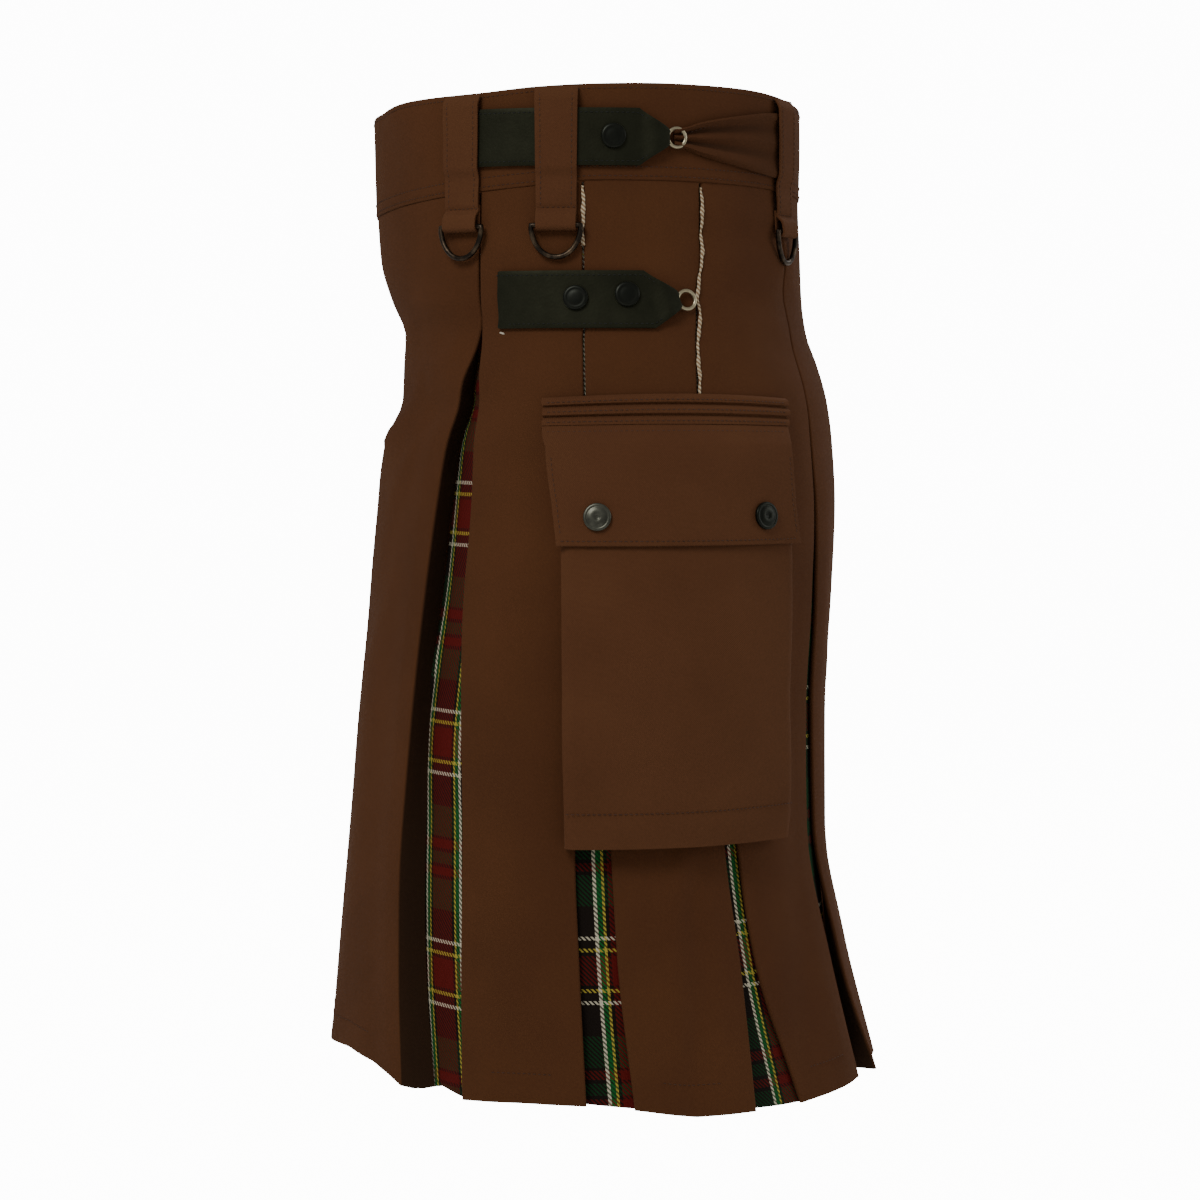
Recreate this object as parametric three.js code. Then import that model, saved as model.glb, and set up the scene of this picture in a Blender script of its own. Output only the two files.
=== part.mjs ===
// Utility kilt with box pleats over checked inserts, worn and filled out.
// Millimetres, +Z up, front towards -Y, the wearer's left towards +X.
// The origin is the middle of the waist, half way up the waistband.

import * as THREE from 'three';

// Driving dimensions
const LENGTH = 610;
const BAND_HEIGHT = 58;
const BAND_THICKNESS = 2.6;
const CLOTH = 1.4;
const SEAM_GAP = 0.3;
const TOP_Z = BAND_HEIGHT / 2;
const CLOTH_TOP = BAND_HEIGHT + SEAM_GAP;
const SQUARENESS = 2.2;

// Worn form: one row for each horizontal section, at a drop below the top edge
const SECTIONS = [
  { drop: 0, front: -134.8, back: 134.2, half: 156 },
  { drop: 29, front: -134.2, back: 134.5, half: 156 },
  { drop: CLOTH_TOP, front: -133.5, back: 134, half: 157 },
  { drop: 100, front: -131, back: 135.5, half: 159 },
  { drop: 125, front: -123.9, back: 136.5, half: 161 },
  { drop: 147, front: -115.5, back: 139.5, half: 164.5 },
  { drop: 165, front: -116.5, back: 146, half: 169 },
  { drop: 188, front: -117.4, back: 152.5, half: 173 },
  { drop: 214, front: -128.4, back: 156, half: 178 },
  { drop: 253, front: -132.5, back: 158, half: 184 },
  { drop: 310, front: -138.6, back: 155.7, half: 189.6 },
  { drop: 380, front: -146.2, back: 151.2, half: 195.7 },
  { drop: 450, front: -152, back: 151.2, half: 201 },
  { drop: 530, front: -158.8, back: 163.4, half: 209 },
  { drop: LENGTH, front: -165.5, back: 181, half: 218 },
];

// Pleat edges: arc from the centre front to each fold, and the gaps at the back.
// The valley is where the apron's own return ends, sunk below the worn form.
const FOLDS = [
  { drop: CLOTH_TOP, apron: 166.1, left1: 166.4, right1: 230, left2: 230.3, right2: 303, left3: 303.3 },
  { drop: 100, apron: 164.4, left1: 164.7, right1: 229.4, left2: 229.7, right2: 303, left3: 303.3 },
  { drop: 125, apron: 158.4, left1: 158.7, right1: 225.1, left2: 225.4, right2: 294.5, left3: 294.8 },
  { drop: 147, apron: 151.4, left1: 151.7, right1: 220.5, left2: 220.8, right2: 289.5, left3: 289.8 },
  { drop: 165, apron: 147.5, left1: 154.5, right1: 224.2, left2: 224.5, right2: 292.9, left3: 293.2 },
  { drop: 188, apron: 142.5, left1: 157.5, right1: 228, left2: 228.5, right2: 296.5, left3: 297 },
  { drop: 214, apron: 149, left1: 169, right1: 240.5, left2: 242, right2: 311, left3: 312 },
  { drop: 253, apron: 149.5, left1: 176, right1: 248, left2: 252, right2: 321.5, left3: 323 },
  { drop: 310, apron: 152, left1: 182, right1: 257, left2: 265, right2: 336.5, left3: 339.5 },
  { drop: 380, apron: 157.6, left1: 194.2, right1: 267.5, left2: 281.5, right2: 354.5, left3: 360.5 },
  { drop: 450, apron: 160.8, left1: 205.3, right1: 276.9, left2: 296.9, right2: 370.7, left3: 380 },
  { drop: 530, apron: 170.5, left1: 216.5, right1: 290.1, left2: 312.2, right2: 391.2, left3: 405.3 },
  { drop: LENGTH, apron: 185.4, left1: 229.6, right1: 304.4, left2: 332, right2: 407.4, left3: 450.3 },
];
const REAR_GAPS = [
  { drop: 188, side: 0.3, centre: 0.3 },
  { drop: 253, side: 3, centre: 2 },
  { drop: 380, side: 9, centre: 8 },
  { drop: 530, side: 18, centre: 16 },
  { drop: LENGTH, side: 26, centre: 20 },
];
const VALLEY = [
  { drop: 165, arc: 141, depth: 10.5 },
  { drop: 188, arc: 138, depth: 12 },
  { drop: 214, arc: 143, depth: 13 },
  { drop: 253, arc: 144, depth: 13 },
  { drop: 310, arc: 148, depth: 12 },
  { drop: 380, arc: 155, depth: 12 },
  { drop: 450, arc: 164, depth: 12 },
  { drop: 530, arc: 177.4, depth: 12 },
  { drop: LENGTH, arc: 199.3, depth: 11 },
];
const APRON_LIFT = [
  { drop: 147, lift: 0 },
  { drop: 188, lift: 1 },
  { drop: 310, lift: 3 },
  { drop: 380, lift: 4 },
  { drop: LENGTH, lift: 4 },
];
const HEM_FLARE = [
  { drop: 450, share: 0 },
  { drop: 530, share: 0.35 },
  { drop: LENGTH, share: 1 },
];
// The hem is not level: its drop at a share of the way from centre front to centre back
const HEM_LINE = [
  { around: 0, drop: 590 },
  { around: 0.11, drop: 588 },
  { around: 0.175, drop: 585 },
  { around: 0.235, drop: 587.3 },
  { around: 0.27, drop: 591 },
  { around: 0.304, drop: 598 },
  { around: 0.328, drop: 595 },
  { around: 0.36, drop: 598 },
  { around: 0.48, drop: 598 },
  { around: 0.53, drop: 601 },
  { around: 0.59, drop: 607 },
  { around: 0.65, drop: 606 },
  { around: 0.72, drop: 608 },
  { around: 0.83, drop: 604 },
  { around: 1, drop: 607 },
];
const HEM_SHAPING_FROM = 450;

// The waistband dips towards the front: drops of its two edges at a share of the way round
const BAND_EDGES = [
  { around: 0, top: 11, bottom: 73 },
  { around: 0.13, top: 10, bottom: 71.8 },
  { around: 0.23, top: 6.5, bottom: 68.7 },
  { around: 0.35, top: 5.3, bottom: 64.4 },
  { around: 0.44, top: 2.3, bottom: 61 },
  { around: 0.51, top: 0.8, bottom: 58 },
  { around: 0.6, top: 0, bottom: 58 },
  { around: 0.72, top: 0.4, bottom: 58.8 },
  { around: 0.9, top: 4.5, bottom: 61 },
  { around: 1, top: 6, bottom: 62 },
];
const BAND_SHAPING_TO = 100;

// Pleat construction
const RETURN_LENGTH = 14;
const FOLD_RADIUS = (CLOTH + SEAM_GAP) / 2;
const FOLD_REACH = FOLD_RADIUS + CLOTH / 2 * Math.SQRT2;
const LAYER = CLOTH + SEAM_GAP;
const LIFT_REACH = 40;
const RELEASE_DROP = 147;
const REAR_FLARE = 7;
const OPEN_TURN = Math.PI * 0.56;
const SEAM_STEP = 1.7;
const APRON_STEPS = 8;

// Under-apron and the waistband's hidden end
const UNDER_APRON_LEVEL = -5.6;
const UNDER_APRON_END = 120;
const UNDER_APRON_SHORTER = 10;
const UNDER_APRON_STEPS = 7;
const BAND_LEVEL = 0.2;
const BAND_OUTER_END = -164;
const BAND_DIVE = { from: -178, to: -158, level: -4 };
const BAND_UNDER_END = 100;
const BAND_STEP = 20;

// Belt loops and their D-rings
const LOOPS = [
  { name: 'front', arc: 155.6 },
  { name: 'side', arc: 214.6 },
  { name: 'rear', arc: 381.4 },
];
const LOOP_WIDTH_TOP = 26;
const LOOP_WIDTH_ROLL = 24;
const LOOP_PROFILE = [
  { drop: 1, out: 2.5 },
  { drop: 8, out: 5.4 },
  { drop: 49, out: 5.4 },
  { drop: 57, out: 3.3 },
  { drop: 66, out: 3.8 },
  { drop: 75, out: 4.1 },
  { drop: 81, out: 6.4 },
];
const LOOP_TAIL_END = 72;
const BAR = { drop: 85, out: 4.3 };
const RING_WIRE = 3.2;
const D_RING_WIDTH = 33;
const D_RING_HEIGHT = 22;
const D_RING_SQUARENESS = 2.6;
const ROLL_RADIUS = RING_WIRE / 2 + SEAM_GAP + CLOTH / 2;

// Leather straps, small rings and the cloth tab
const LEATHER = 2.6;
const STRAP_HEIGHT = 34;
const STRAP_STEP = 12;
const STRAPS = [
  { name: 'upper', drop: 32.5, start: 153, tip: 280, face: BAND_LEVEL + BAND_THICKNESS / 2 },
  { name: 'lower', drop: 129, start: 172, tip: 280, face: CLOTH / 2 },
];
const TIP_LENGTH = 17;
const TIP_HALF_HEIGHT = 4.5;
const SMALL_RING = { radius: 5.3, wire: 2.2, beyondTip: 4 };
const TAB = [
  { arc: 286.5, half: 5, out: 4.9 },
  { arc: 292.5, half: 6.5, out: 4.9 },
  { arc: 300, half: 9, out: 3.1 },
  { arc: 316, half: 12.5, out: 2.6 },
  { arc: 334, half: 15.5, out: 2.6 },
  { arc: 352, half: 18, out: 2.6 },
  { arc: 370, half: 19.5, out: 2.6 },
  { arc: 387, half: 20, out: 2.6 },
];

// Snap fasteners
const SNAP_SEAT = 0.4;
const STRAP_SNAP = { radius: 7.4, height: 2.4 };
const FLAP_SNAP = { radius: 8.2, height: 2.8 };
const STRAP_SNAPS = [
  { name: 'upper', strap: 0, arc: 247.5, drop: 32 },
  { name: 'lower_front', strap: 1, arc: 219.8, drop: 128 },
  { name: 'lower_rear', strap: 1, arc: 250.2, drop: 126 },
];
const FLAP_SNAPS = [
  { name: 'front', arc: 258.5, drop: 257 },
  { name: 'rear', arc: 352.9, drop: 257 },
];

// Cargo pocket: side edges as arcs at a drop, and the depth of each layer
const POCKET_SIDES = [
  { drop: 188, left: 202.8, right: 363.5 },
  { drop: 204, left: 212.7, right: 367.5 },
  { drop: 216, left: 221.8, right: 368 },
  { drop: 250, left: 233, right: 375.6 },
  { drop: 274, left: 240, right: 384 },
  { drop: 360, left: 256, right: 398 },
  { drop: 449, left: 269.5, right: 415.5 },
];
const POCKET_BOTTOM = 449;
const POCKET_BACK = 3.5;
const POCKET_RIM_FRONT = 216;
const POCKET_FRONT = [
  { drop: POCKET_RIM_FRONT, out: 10.5 },
  { drop: 250, out: 13.2 },
  { drop: 274, out: 14 },
  { drop: 330, out: 16.5 },
  { drop: 390, out: 17 },
  { drop: 430, out: 15.5 },
  { drop: POCKET_BOTTOM, out: 13 },
];
const POCKET_LEVELS = [0, 0.16, 0.28, 0.5, 0.72, 0.92, 1];
const POCKET_COLUMNS = 9;
const POCKET_INSET = 1.5;
const HEADING = [
  { drop: 188, out: 2.9 },
  { drop: 190.5, out: 4.4 },
  { drop: 193, out: 3.6 },
  { drop: 196, out: 5.8 },
  { drop: 199, out: 5 },
  { drop: 204, out: 7.6 },
];
const HEADING_BACK = 1.3;
const HEADING_COLUMNS = 11;
const FLAP = [
  { drop: 204.3, out: 6.4 },
  { drop: 210, out: 10 },
  { drop: 216, out: 13 },
  { drop: 225, out: 14.2 },
  { drop: 250, out: 15.6 },
  { drop: 274, out: 16.4 },
];
const FLAP_THICKNESS = 1.8;

// Finishes
const finish = (color, roughness, metalness) =>
  new THREE.MeshStandardMaterial({ color, roughness, metalness });
const TWILL = () => finish(0x4f2f1c, 0.9, 0);
const CHECK = () => finish(0x4a2018, 0.9, 0);
const HIDE = () => finish(0x22241e, 0.55, 0);
const DARK_METAL = () => finish(0x2b2622, 0.4, 0.8);
const PALE_METAL = () => finish(0xc9c4b6, 0.3, 0.9);

const kilt = new THREE.Group();

function addPiece(name, geometry, material) {
  const mesh = new THREE.Mesh(geometry, material);
  mesh.name = name;
  kilt.add(mesh);
  return mesh;
}

// Straight-line reading of a table column at a position along its key column
function readTable(table, key, at, column) {
  if (at <= table[0][key]) return table[0][column];
  for (let row = 1; row < table.length; row += 1) {
    const above = table[row - 1];
    const below = table[row];
    if (at <= below[key]) {
      const share = (at - above[key]) / (below[key] - above[key]);
      return above[column] + share * (below[column] - above[column]);
    }
  }
  return table[table.length - 1][column];
}

const smooth = (share) => {
  const held = Math.min(Math.max(share, 0), 1);
  return held * held * (3 - 2 * held);
};

// One section as a rounded oval, with the arc length at each step round its left half
const OUTLINE_STEPS = 720;
const outlines = new Map();

function ovalPower(value) {
  return Math.sign(value) * Math.abs(value) ** (2 / SQUARENESS);
}

function outlineAt(drop) {
  const key = drop.toFixed(3);
  if (outlines.has(key)) return outlines.get(key);
  const front = readTable(SECTIONS, 'drop', drop, 'front');
  const back = readTable(SECTIONS, 'drop', drop, 'back');
  const half = readTable(SECTIONS, 'drop', drop, 'half');
  const outline = { middle: (front + back) / 2, depth: (back - front) / 2, half, arcs: [0] };
  let before = ovalPoint(outline, 0);
  for (let step = 1; step <= OUTLINE_STEPS; step += 1) {
    const point = ovalPoint(outline, step / OUTLINE_STEPS * Math.PI);
    outline.arcs.push(outline.arcs[step - 1] + point.distanceTo(before));
    before = point;
  }
  outline.halfRound = outline.arcs[OUTLINE_STEPS];
  outlines.set(key, outline);
  return outline;
}

function ovalPoint(outline, angle) {
  const across = outline.half * ovalPower(Math.sin(angle));
  const along = outline.middle - outline.depth * ovalPower(Math.cos(angle));
  return new THREE.Vector2(across, along);
}

function ovalNormal(outline, point) {
  const across = point.x / outline.half;
  const along = (point.y - outline.middle) / outline.depth;
  const bend = (value) => Math.sign(value) * Math.abs(value) ** (SQUARENESS - 1);
  return new THREE.Vector2(bend(across) / outline.half, bend(along) / outline.depth).normalize();
}

const halfRoundAt = (drop) => outlineAt(drop).halfRound;

// A point on the worn form: drop below the top edge, arc from the centre front towards the
// wearer's left, and the distance out from the form. Returns the point and the outward normal.
function spot(drop, arc, out = 0) {
  const outline = outlineAt(drop);
  const round = 2 * outline.halfRound;
  const turned = ((arc % round) + round) % round;
  const side = turned > outline.halfRound ? -1 : 1;
  const reach = side > 0 ? turned : round - turned;
  let low = 0;
  let high = OUTLINE_STEPS;
  while (high - low > 1) {
    const half = (low + high) >> 1;
    if (outline.arcs[half] <= reach) low = half;
    else high = half;
  }
  const share = (reach - outline.arcs[low]) / (outline.arcs[high] - outline.arcs[low]);
  const flat = ovalPoint(outline, (low + share) / OUTLINE_STEPS * Math.PI);
  const normal = ovalNormal(outline, flat);
  return {
    point: new THREE.Vector3(
      side * (flat.x + normal.x * out),
      flat.y + normal.y * out,
      TOP_Z - drop,
    ),
    normal: new THREE.Vector3(side * normal.x, normal.y, 0),
  };
}

const place = (drop, arc, out) => spot(drop, arc, out).point;

// Closed body from a list of corner points and faces, turned so that its faces point out
function closedBody(points, faces) {
  const at = (index) => points[index];
  let volume = 0;
  for (const [a, b, c] of faces) {
    volume += at(a).dot(new THREE.Vector3().crossVectors(at(b), at(c)));
  }
  const index = faces.flatMap(([a, b, c]) => (volume > 0 ? [a, b, c] : [a, c, b]));
  const geometry = new THREE.BufferGeometry();
  geometry.setAttribute('position', new THREE.Float32BufferAttribute(points.flatMap((p) => p.toArray()), 3));
  geometry.setIndex(index);
  geometry.computeVertexNormals();
  return geometry;
}

const quad = (a, b, c, d) => [[a, b, c], [a, c, d]];
const quadCrossed = (a, b, c, d) => [[a, b, d], [b, c, d]];

// A wall between an outer and an inner grid of points, closed round its four edges. Where the
// cloth runs back towards the front its faces are split the other way, so that layers lie alike.
function shell(outer, inner, runsBack = () => false) {
  const rows = outer.length;
  const columns = outer[0].length;
  const points = [...outer.flat(), ...inner.flat()];
  const front = (row, column) => row * columns + column;
  const rear = (row, column) => rows * columns + front(row, column);
  const faces = [];
  for (let row = 0; row < rows - 1; row += 1) {
    for (let column = 0; column < columns - 1; column += 1) {
      const next = column + 1;
      const split = runsBack(column) ? quadCrossed : quad;
      faces.push(...split(front(row, column), front(row + 1, column), front(row + 1, next), front(row, next)));
      faces.push(...split(rear(row, column), rear(row + 1, column), rear(row + 1, next), rear(row, next))
        .map(([a, b, c]) => [a, c, b]));
    }
    const last = columns - 1;
    faces.push(...quad(front(row, 0), rear(row, 0), rear(row + 1, 0), front(row + 1, 0)));
    faces.push(...quad(front(row, last), front(row + 1, last), rear(row + 1, last), rear(row, last)));
  }
  for (let column = 0; column < columns - 1; column += 1) {
    const next = column + 1;
    const last = rows - 1;
    faces.push(...quad(front(0, column), front(0, next), rear(0, next), rear(0, column)));
    faces.push(...quad(front(last, column), rear(last, column), rear(last, next), front(last, next)));
  }
  return closedBody(points, faces);
}

// A centre line across the cloth at one level, moved sideways by a distance, corners mitred
function moved(line, distance) {
  const heading = (from, to) => new THREE.Vector2(to.arc - from.arc, to.out - from.out).normalize();
  return line.map((knot, index) => {
    const before = index > 0 ? heading(line[index - 1], knot) : heading(knot, line[1]);
    const after = index < line.length - 1 ? heading(knot, line[index + 1]) : before;
    const along = before.clone().add(after).normalize();
    const reach = distance / along.dot(before);
    return place(knot.drop, knot.arc - along.y * reach, knot.out + along.x * reach);
  });
}

function wall(lines, thickness) {
  const outer = lines.map((line) => moved(line, thickness / 2));
  const inner = lines.map((line) => moved(line, -thickness / 2));
  return shell(outer, inner, (column) => {
    const { arc: from } = lines[0][column];
    const { arc: to } = lines[0][column + 1];
    return (to < from) !== (from + to < 0);
  });
}

function mirrored(geometry) {
  const copy = geometry.clone();
  copy.scale(-1, 1, 1);
  const index = copy.getIndex();
  for (let face = 0; face < index.count; face += 3) {
    const first = index.getX(face);
    index.setX(face, index.getX(face + 2));
    index.setX(face + 2, first);
  }
  copy.computeVertexNormals();
  return copy;
}

function addPair(name, geometry, material) {
  addPiece(`${name}_left`, geometry, material());
  addPiece(`${name}_right`, mirrored(geometry), material());
}

// Levels of the pleated cloth. The first follows the waistband's lower edge, and below the hip
// the levels spread to meet the uneven hem.
const LEVELS = FOLDS.map((row) => row.drop);

// How far round from the centre front (0) to the centre back (1) an arc lies, on either side
function shareRound(drop, arc) {
  const halfRound = halfRoundAt(drop);
  const turned = Math.abs(arc) % (2 * halfRound);
  return Math.min(turned, 2 * halfRound - turned) / halfRound;
}

function clothDrop(level, arc, shorter = 0) {
  const around = shareRound(level, arc);
  if (level < BAND_SHAPING_TO) {
    const top = readTable(BAND_EDGES, 'around', around, 'bottom') + SEAM_GAP;
    return BAND_SHAPING_TO - (BAND_SHAPING_TO - top) * (BAND_SHAPING_TO - level) / (BAND_SHAPING_TO - CLOTH_TOP);
  }
  if (level <= HEM_SHAPING_FROM) return level;
  const hem = readTable(HEM_LINE, 'around', around, 'drop') - shorter;
  const share = (level - HEM_SHAPING_FROM) / (LENGTH - HEM_SHAPING_FROM);
  return HEM_SHAPING_FROM + share * (hem - HEM_SHAPING_FROM);
}

// Edges of every panel at a level, with how far each stands out and how its return lies.
// A turn of 180 degrees folds the return flat behind the panel.
function edgesAt(level) {
  const fold = FOLDS.find((row) => row.drop === level);
  const half = halfRoundAt(level);
  const side = readTable(REAR_GAPS, 'drop', level, 'side');
  const centre = readTable(REAR_GAPS, 'drop', level, 'centre') / 2;
  const flare = readTable(HEM_FLARE, 'drop', level, 'share');
  const apronLift = readTable(APRON_LIFT, 'drop', level, 'lift');
  const rearWidth = (half - fold.left3 - side - centre) / 2;
  const flat = (arc, lift) => ({ arc, lift: lift * flare, length: RETURN_LENGTH, turn: Math.PI });
  const apron = { arc: fold.apron, lift: apronLift, length: RETURN_LENGTH, turn: Math.PI };
  if (level > RELEASE_DROP) {
    const across = readTable(VALLEY, 'drop', level, 'arc') - fold.apron;
    const down = readTable(VALLEY, 'drop', level, 'depth') + apronLift;
    apron.turn = Math.atan2(down, across);
    apron.length = Math.hypot(across, down) - FOLD_RADIUS;
  }
  const rear = flat(fold.left3 + rearWidth + side, REAR_FLARE);
  rear.turn = Math.PI * (1 - 0.42 * flare);
  rear.length = RETURN_LENGTH + 9 * flare;
  return {
    apron,
    apronFree: { arc: fold.apron, lift: apronLift, length: RETURN_LENGTH, turn: Math.PI },
    left1: flat(fold.left1, 3),
    right1: flat(fold.right1, 4),
    left2: flat(fold.left2, 2),
    right2: flat(fold.right2, 5),
    left3: flat(fold.left3, 0),
    right3: flat(fold.left3 + rearWidth, 3),
    left4: rear,
    right4: flat(half - centre, 4),
  };
}

// Share of an edge's lift that is left at a distance from it
const liftShare = (distance) => 1 - smooth(distance / LIFT_REACH);

// Arc of the place on the panel that a flat return reaches, for a far (1) or near (-1) edge
const footArc = (edge, side) => edge.arc - side * (FOLD_REACH + RETURN_LENGTH);

// Centre line of a folded edge and its return, from the panel outwards
function edgeLine(edge, side) {
  const centre = edge.arc - side * FOLD_REACH;
  const knots = [0, 0.5, 1].map((share) => ({
    arc: centre + side * FOLD_RADIUS * Math.sin(share * edge.turn),
    out: edge.lift - FOLD_RADIUS * (1 - Math.cos(share * edge.turn)),
  }));
  const last = knots[2];
  if (edge.turn === Math.PI) {
    knots.push({
      arc: footArc(edge, side),
      out: edge.lift * liftShare(FOLD_REACH + RETURN_LENGTH) - LAYER,
    });
  } else {
    knots.push({
      arc: last.arc + side * edge.length * Math.cos(edge.turn),
      out: last.out - edge.length * Math.sin(edge.turn),
    });
  }
  return knots;
}

// Where an insert is sewn to a return: behind a return that lies flat, beyond the end of one
// that stands open
function seamKnot(edge, side) {
  const end = edgeLine(edge, side)[3];
  if (edge.turn === Math.PI) return { arc: end.arc, out: -2 * LAYER };
  if (edge.turn > OPEN_TURN) return { arc: end.arc, out: end.out - LAYER - CLOTH / 2 };
  return {
    arc: end.arc + side * SEAM_STEP * Math.cos(edge.turn),
    out: end.out - SEAM_STEP * Math.sin(edge.turn),
  };
}

const mixed = (from, to, share) => ({
  arc: from.arc + share * (to.arc - from.arc),
  out: from.out + share * (to.out - from.out),
});

const withDrops = (level, knots, shorter = 0) =>
  knots.map((knot) => ({ ...knot, drop: clothDrop(level, knot.arc, shorter) }));

// A pleat panel with a fold and a return at both sides
function panelLine(level, near, far) {
  const feet = [footArc(near, -1), (near.arc + far.arc) / 2, footArc(far, 1)];
  const across = feet.map((arc) => ({
    arc,
    out: near.lift * liftShare(arc - near.arc) + far.lift * liftShare(far.arc - arc),
  }));
  return withDrops(level, [...edgeLine(near, -1).reverse(), ...across, ...edgeLine(far, 1)]);
}

// A checked insert, sewn from the return of one panel to the return of the next
function insertLine(level, far, near) {
  const from = seamKnot(far, 1);
  const to = seamKnot(near, -1);
  let first = { arc: far.arc - 1, out: -2 * LAYER };
  let last = { arc: near.arc + 1, out: -2 * LAYER };
  if (far.turn !== Math.PI) first = mixed(from, last, 0.4);
  if (near.turn !== Math.PI) last = mixed(to, first, 0.4);
  return withDrops(level, [from, first, mixed(first, last, 0.5), last, to]);
}

const panelWall = (near, far) => wall(LEVELS.map((level) => {
  const edges = edgesAt(level);
  return panelLine(level, edges[near], edges[far]);
}), CLOTH);

const insertWall = (far, near) => wall(LEVELS.map((level) => {
  const edges = edgesAt(level);
  return insertLine(level, edges[far], edges[near]);
}), CLOTH);

// Front apron: its left side is folded into the first pleat, its right side is a free hem
function apronLine(level) {
  const { apron, apronFree } = edgesAt(level);
  const reach = apron.arc - LIFT_REACH;
  const knots = [{ arc: -footArc(apronFree, 1), out: apronFree.lift * liftShare(FOLD_REACH + RETURN_LENGTH) }];
  for (let step = 0; step <= APRON_STEPS; step += 1) {
    knots.push({ arc: reach * (2 * step / APRON_STEPS - 1), out: 0 });
  }
  knots.push({ arc: footArc(apron, 1), out: apron.lift * liftShare(FOLD_REACH + RETURN_LENGTH) });
  const freeSide = edgeLine(apronFree, 1).map((knot) => ({ arc: -knot.arc, out: knot.out })).reverse();
  return withDrops(level, [...freeSide, ...knots, ...edgeLine(apron, 1)]);
}

addPiece('front_apron', wall(LEVELS.map(apronLine), CLOTH), TWILL());

// Under-apron: joins the first pleat on the wearer's right and runs behind the front apron
function underApronLine(level) {
  const { apronFree } = edgesAt(level);
  const reach = LIFT_REACH - apronFree.arc;
  const knots = [-apronFree.arc, -footArc(apronFree, 1)];
  for (let step = 0; step <= UNDER_APRON_STEPS; step += 1) {
    knots.push(reach + (UNDER_APRON_END - reach) * step / UNDER_APRON_STEPS);
  }
  const flat = knots.map((arc) => ({ arc, out: UNDER_APRON_LEVEL }));
  return withDrops(level, flat, UNDER_APRON_SHORTER);
}

addPiece('under_apron', wall(LEVELS.map(underApronLine), CLOTH), TWILL());

// Pleat panels and inserts, counted from the apron round to the back
for (const number of [1, 2, 3, 4]) {
  addPair(`pleat_panel_${number}`, panelWall(`left${number}`, `right${number}`), TWILL);
}
addPiece('insert_1_left', insertWall('apron', 'left1'), CHECK());
addPiece('insert_1_right', mirrored(insertWall('apronFree', 'left1')), CHECK());
for (const number of [2, 3, 4]) {
  addPair(`insert_${number}`, insertWall(`right${number - 1}`, `left${number}`), CHECK);
}

function backInsertLine(level) {
  const far = edgesAt(level).right4;
  const halfRound = halfRoundAt(clothDrop(level, halfRoundAt(level)));
  const near = [seamKnot(far, 1), { arc: far.arc - 1, out: -2 * LAYER }];
  const beyond = near.map((knot) => ({ arc: 2 * halfRound - knot.arc, out: knot.out })).reverse();
  const drops = near.map((knot) => clothDrop(level, knot.arc));
  const centre = { arc: halfRound, out: -2 * LAYER, drop: clothDrop(level, halfRound) };
  return [
    ...near.map((knot, index) => ({ ...knot, drop: drops[index] })),
    centre,
    ...beyond.map((knot, index) => ({ ...knot, drop: drops[1 - index] })),
  ];
}

addPiece('insert_back', wall(LEVELS.map(backInsertLine), CLOTH), CHECK());

// Waistband: one strip from the right hip round the front, the back and on under the apron
function bandLine(share) {
  const round = 2 * halfRoundAt(0);
  const steps = Math.ceil((round + BAND_UNDER_END - BAND_OUTER_END) / BAND_STEP);
  const knots = [];
  for (let step = 0; step <= steps; step += 1) {
    const arc = BAND_OUTER_END + (round + BAND_UNDER_END - BAND_OUTER_END) * step / steps;
    const dive = smooth((arc - round - BAND_DIVE.from) / (BAND_DIVE.to - BAND_DIVE.from));
    const out = BAND_LEVEL + dive * (BAND_DIVE.level - BAND_LEVEL);
    const around = shareRound(0, arc);
    const top = readTable(BAND_EDGES, 'around', around, 'top');
    const drop = top + share * (readTable(BAND_EDGES, 'around', around, 'bottom') - top);
    knots.push({ drop, arc: arc * halfRoundAt(drop) / halfRoundAt(0), out });
  }
  return knots;
}

addPiece('waistband', wall([0, 0.5, 1].map(bandLine), BAND_THICKNESS), TWILL());

// Upright frame of a belt loop: a flat strip stands on it with its middle on the worn form
function loopFrame(arc) {
  const share = arc / halfRoundAt(BAND_HEIGHT);
  const { point: foot, normal } = spot(BAND_HEIGHT, arc);
  const along = new THREE.Vector3(normal.y, -normal.x, 0);
  return {
    normal,
    at(drop, out, sideways) {
      const base = place(drop, share * halfRoundAt(drop), 0);
      const stand = base.sub(foot).dot(normal) + out;
      const point = foot.clone().addScaledVector(normal, stand).addScaledVector(along, sideways);
      point.z = TOP_Z - drop;
      return point;
    },
  };
}

function loopProfile(arc) {
  const top = readTable(BAND_EDGES, 'around', shareRound(0, arc), 'top');
  const knots = LOOP_PROFILE.map((knot, index) => (index < 2 ? { drop: knot.drop + top, out: knot.out } : knot));
  for (const degrees of [0, 45, 90, 135, 180]) {
    const turned = THREE.MathUtils.degToRad(degrees);
    knots.push({
      drop: BAR.drop + ROLL_RADIUS * Math.sin(turned),
      out: BAR.out + ROLL_RADIUS * Math.cos(turned),
    });
  }
  knots.push({ drop: LOOP_TAIL_END, out: BAR.out - ROLL_RADIUS });
  return knots;
}

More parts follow.
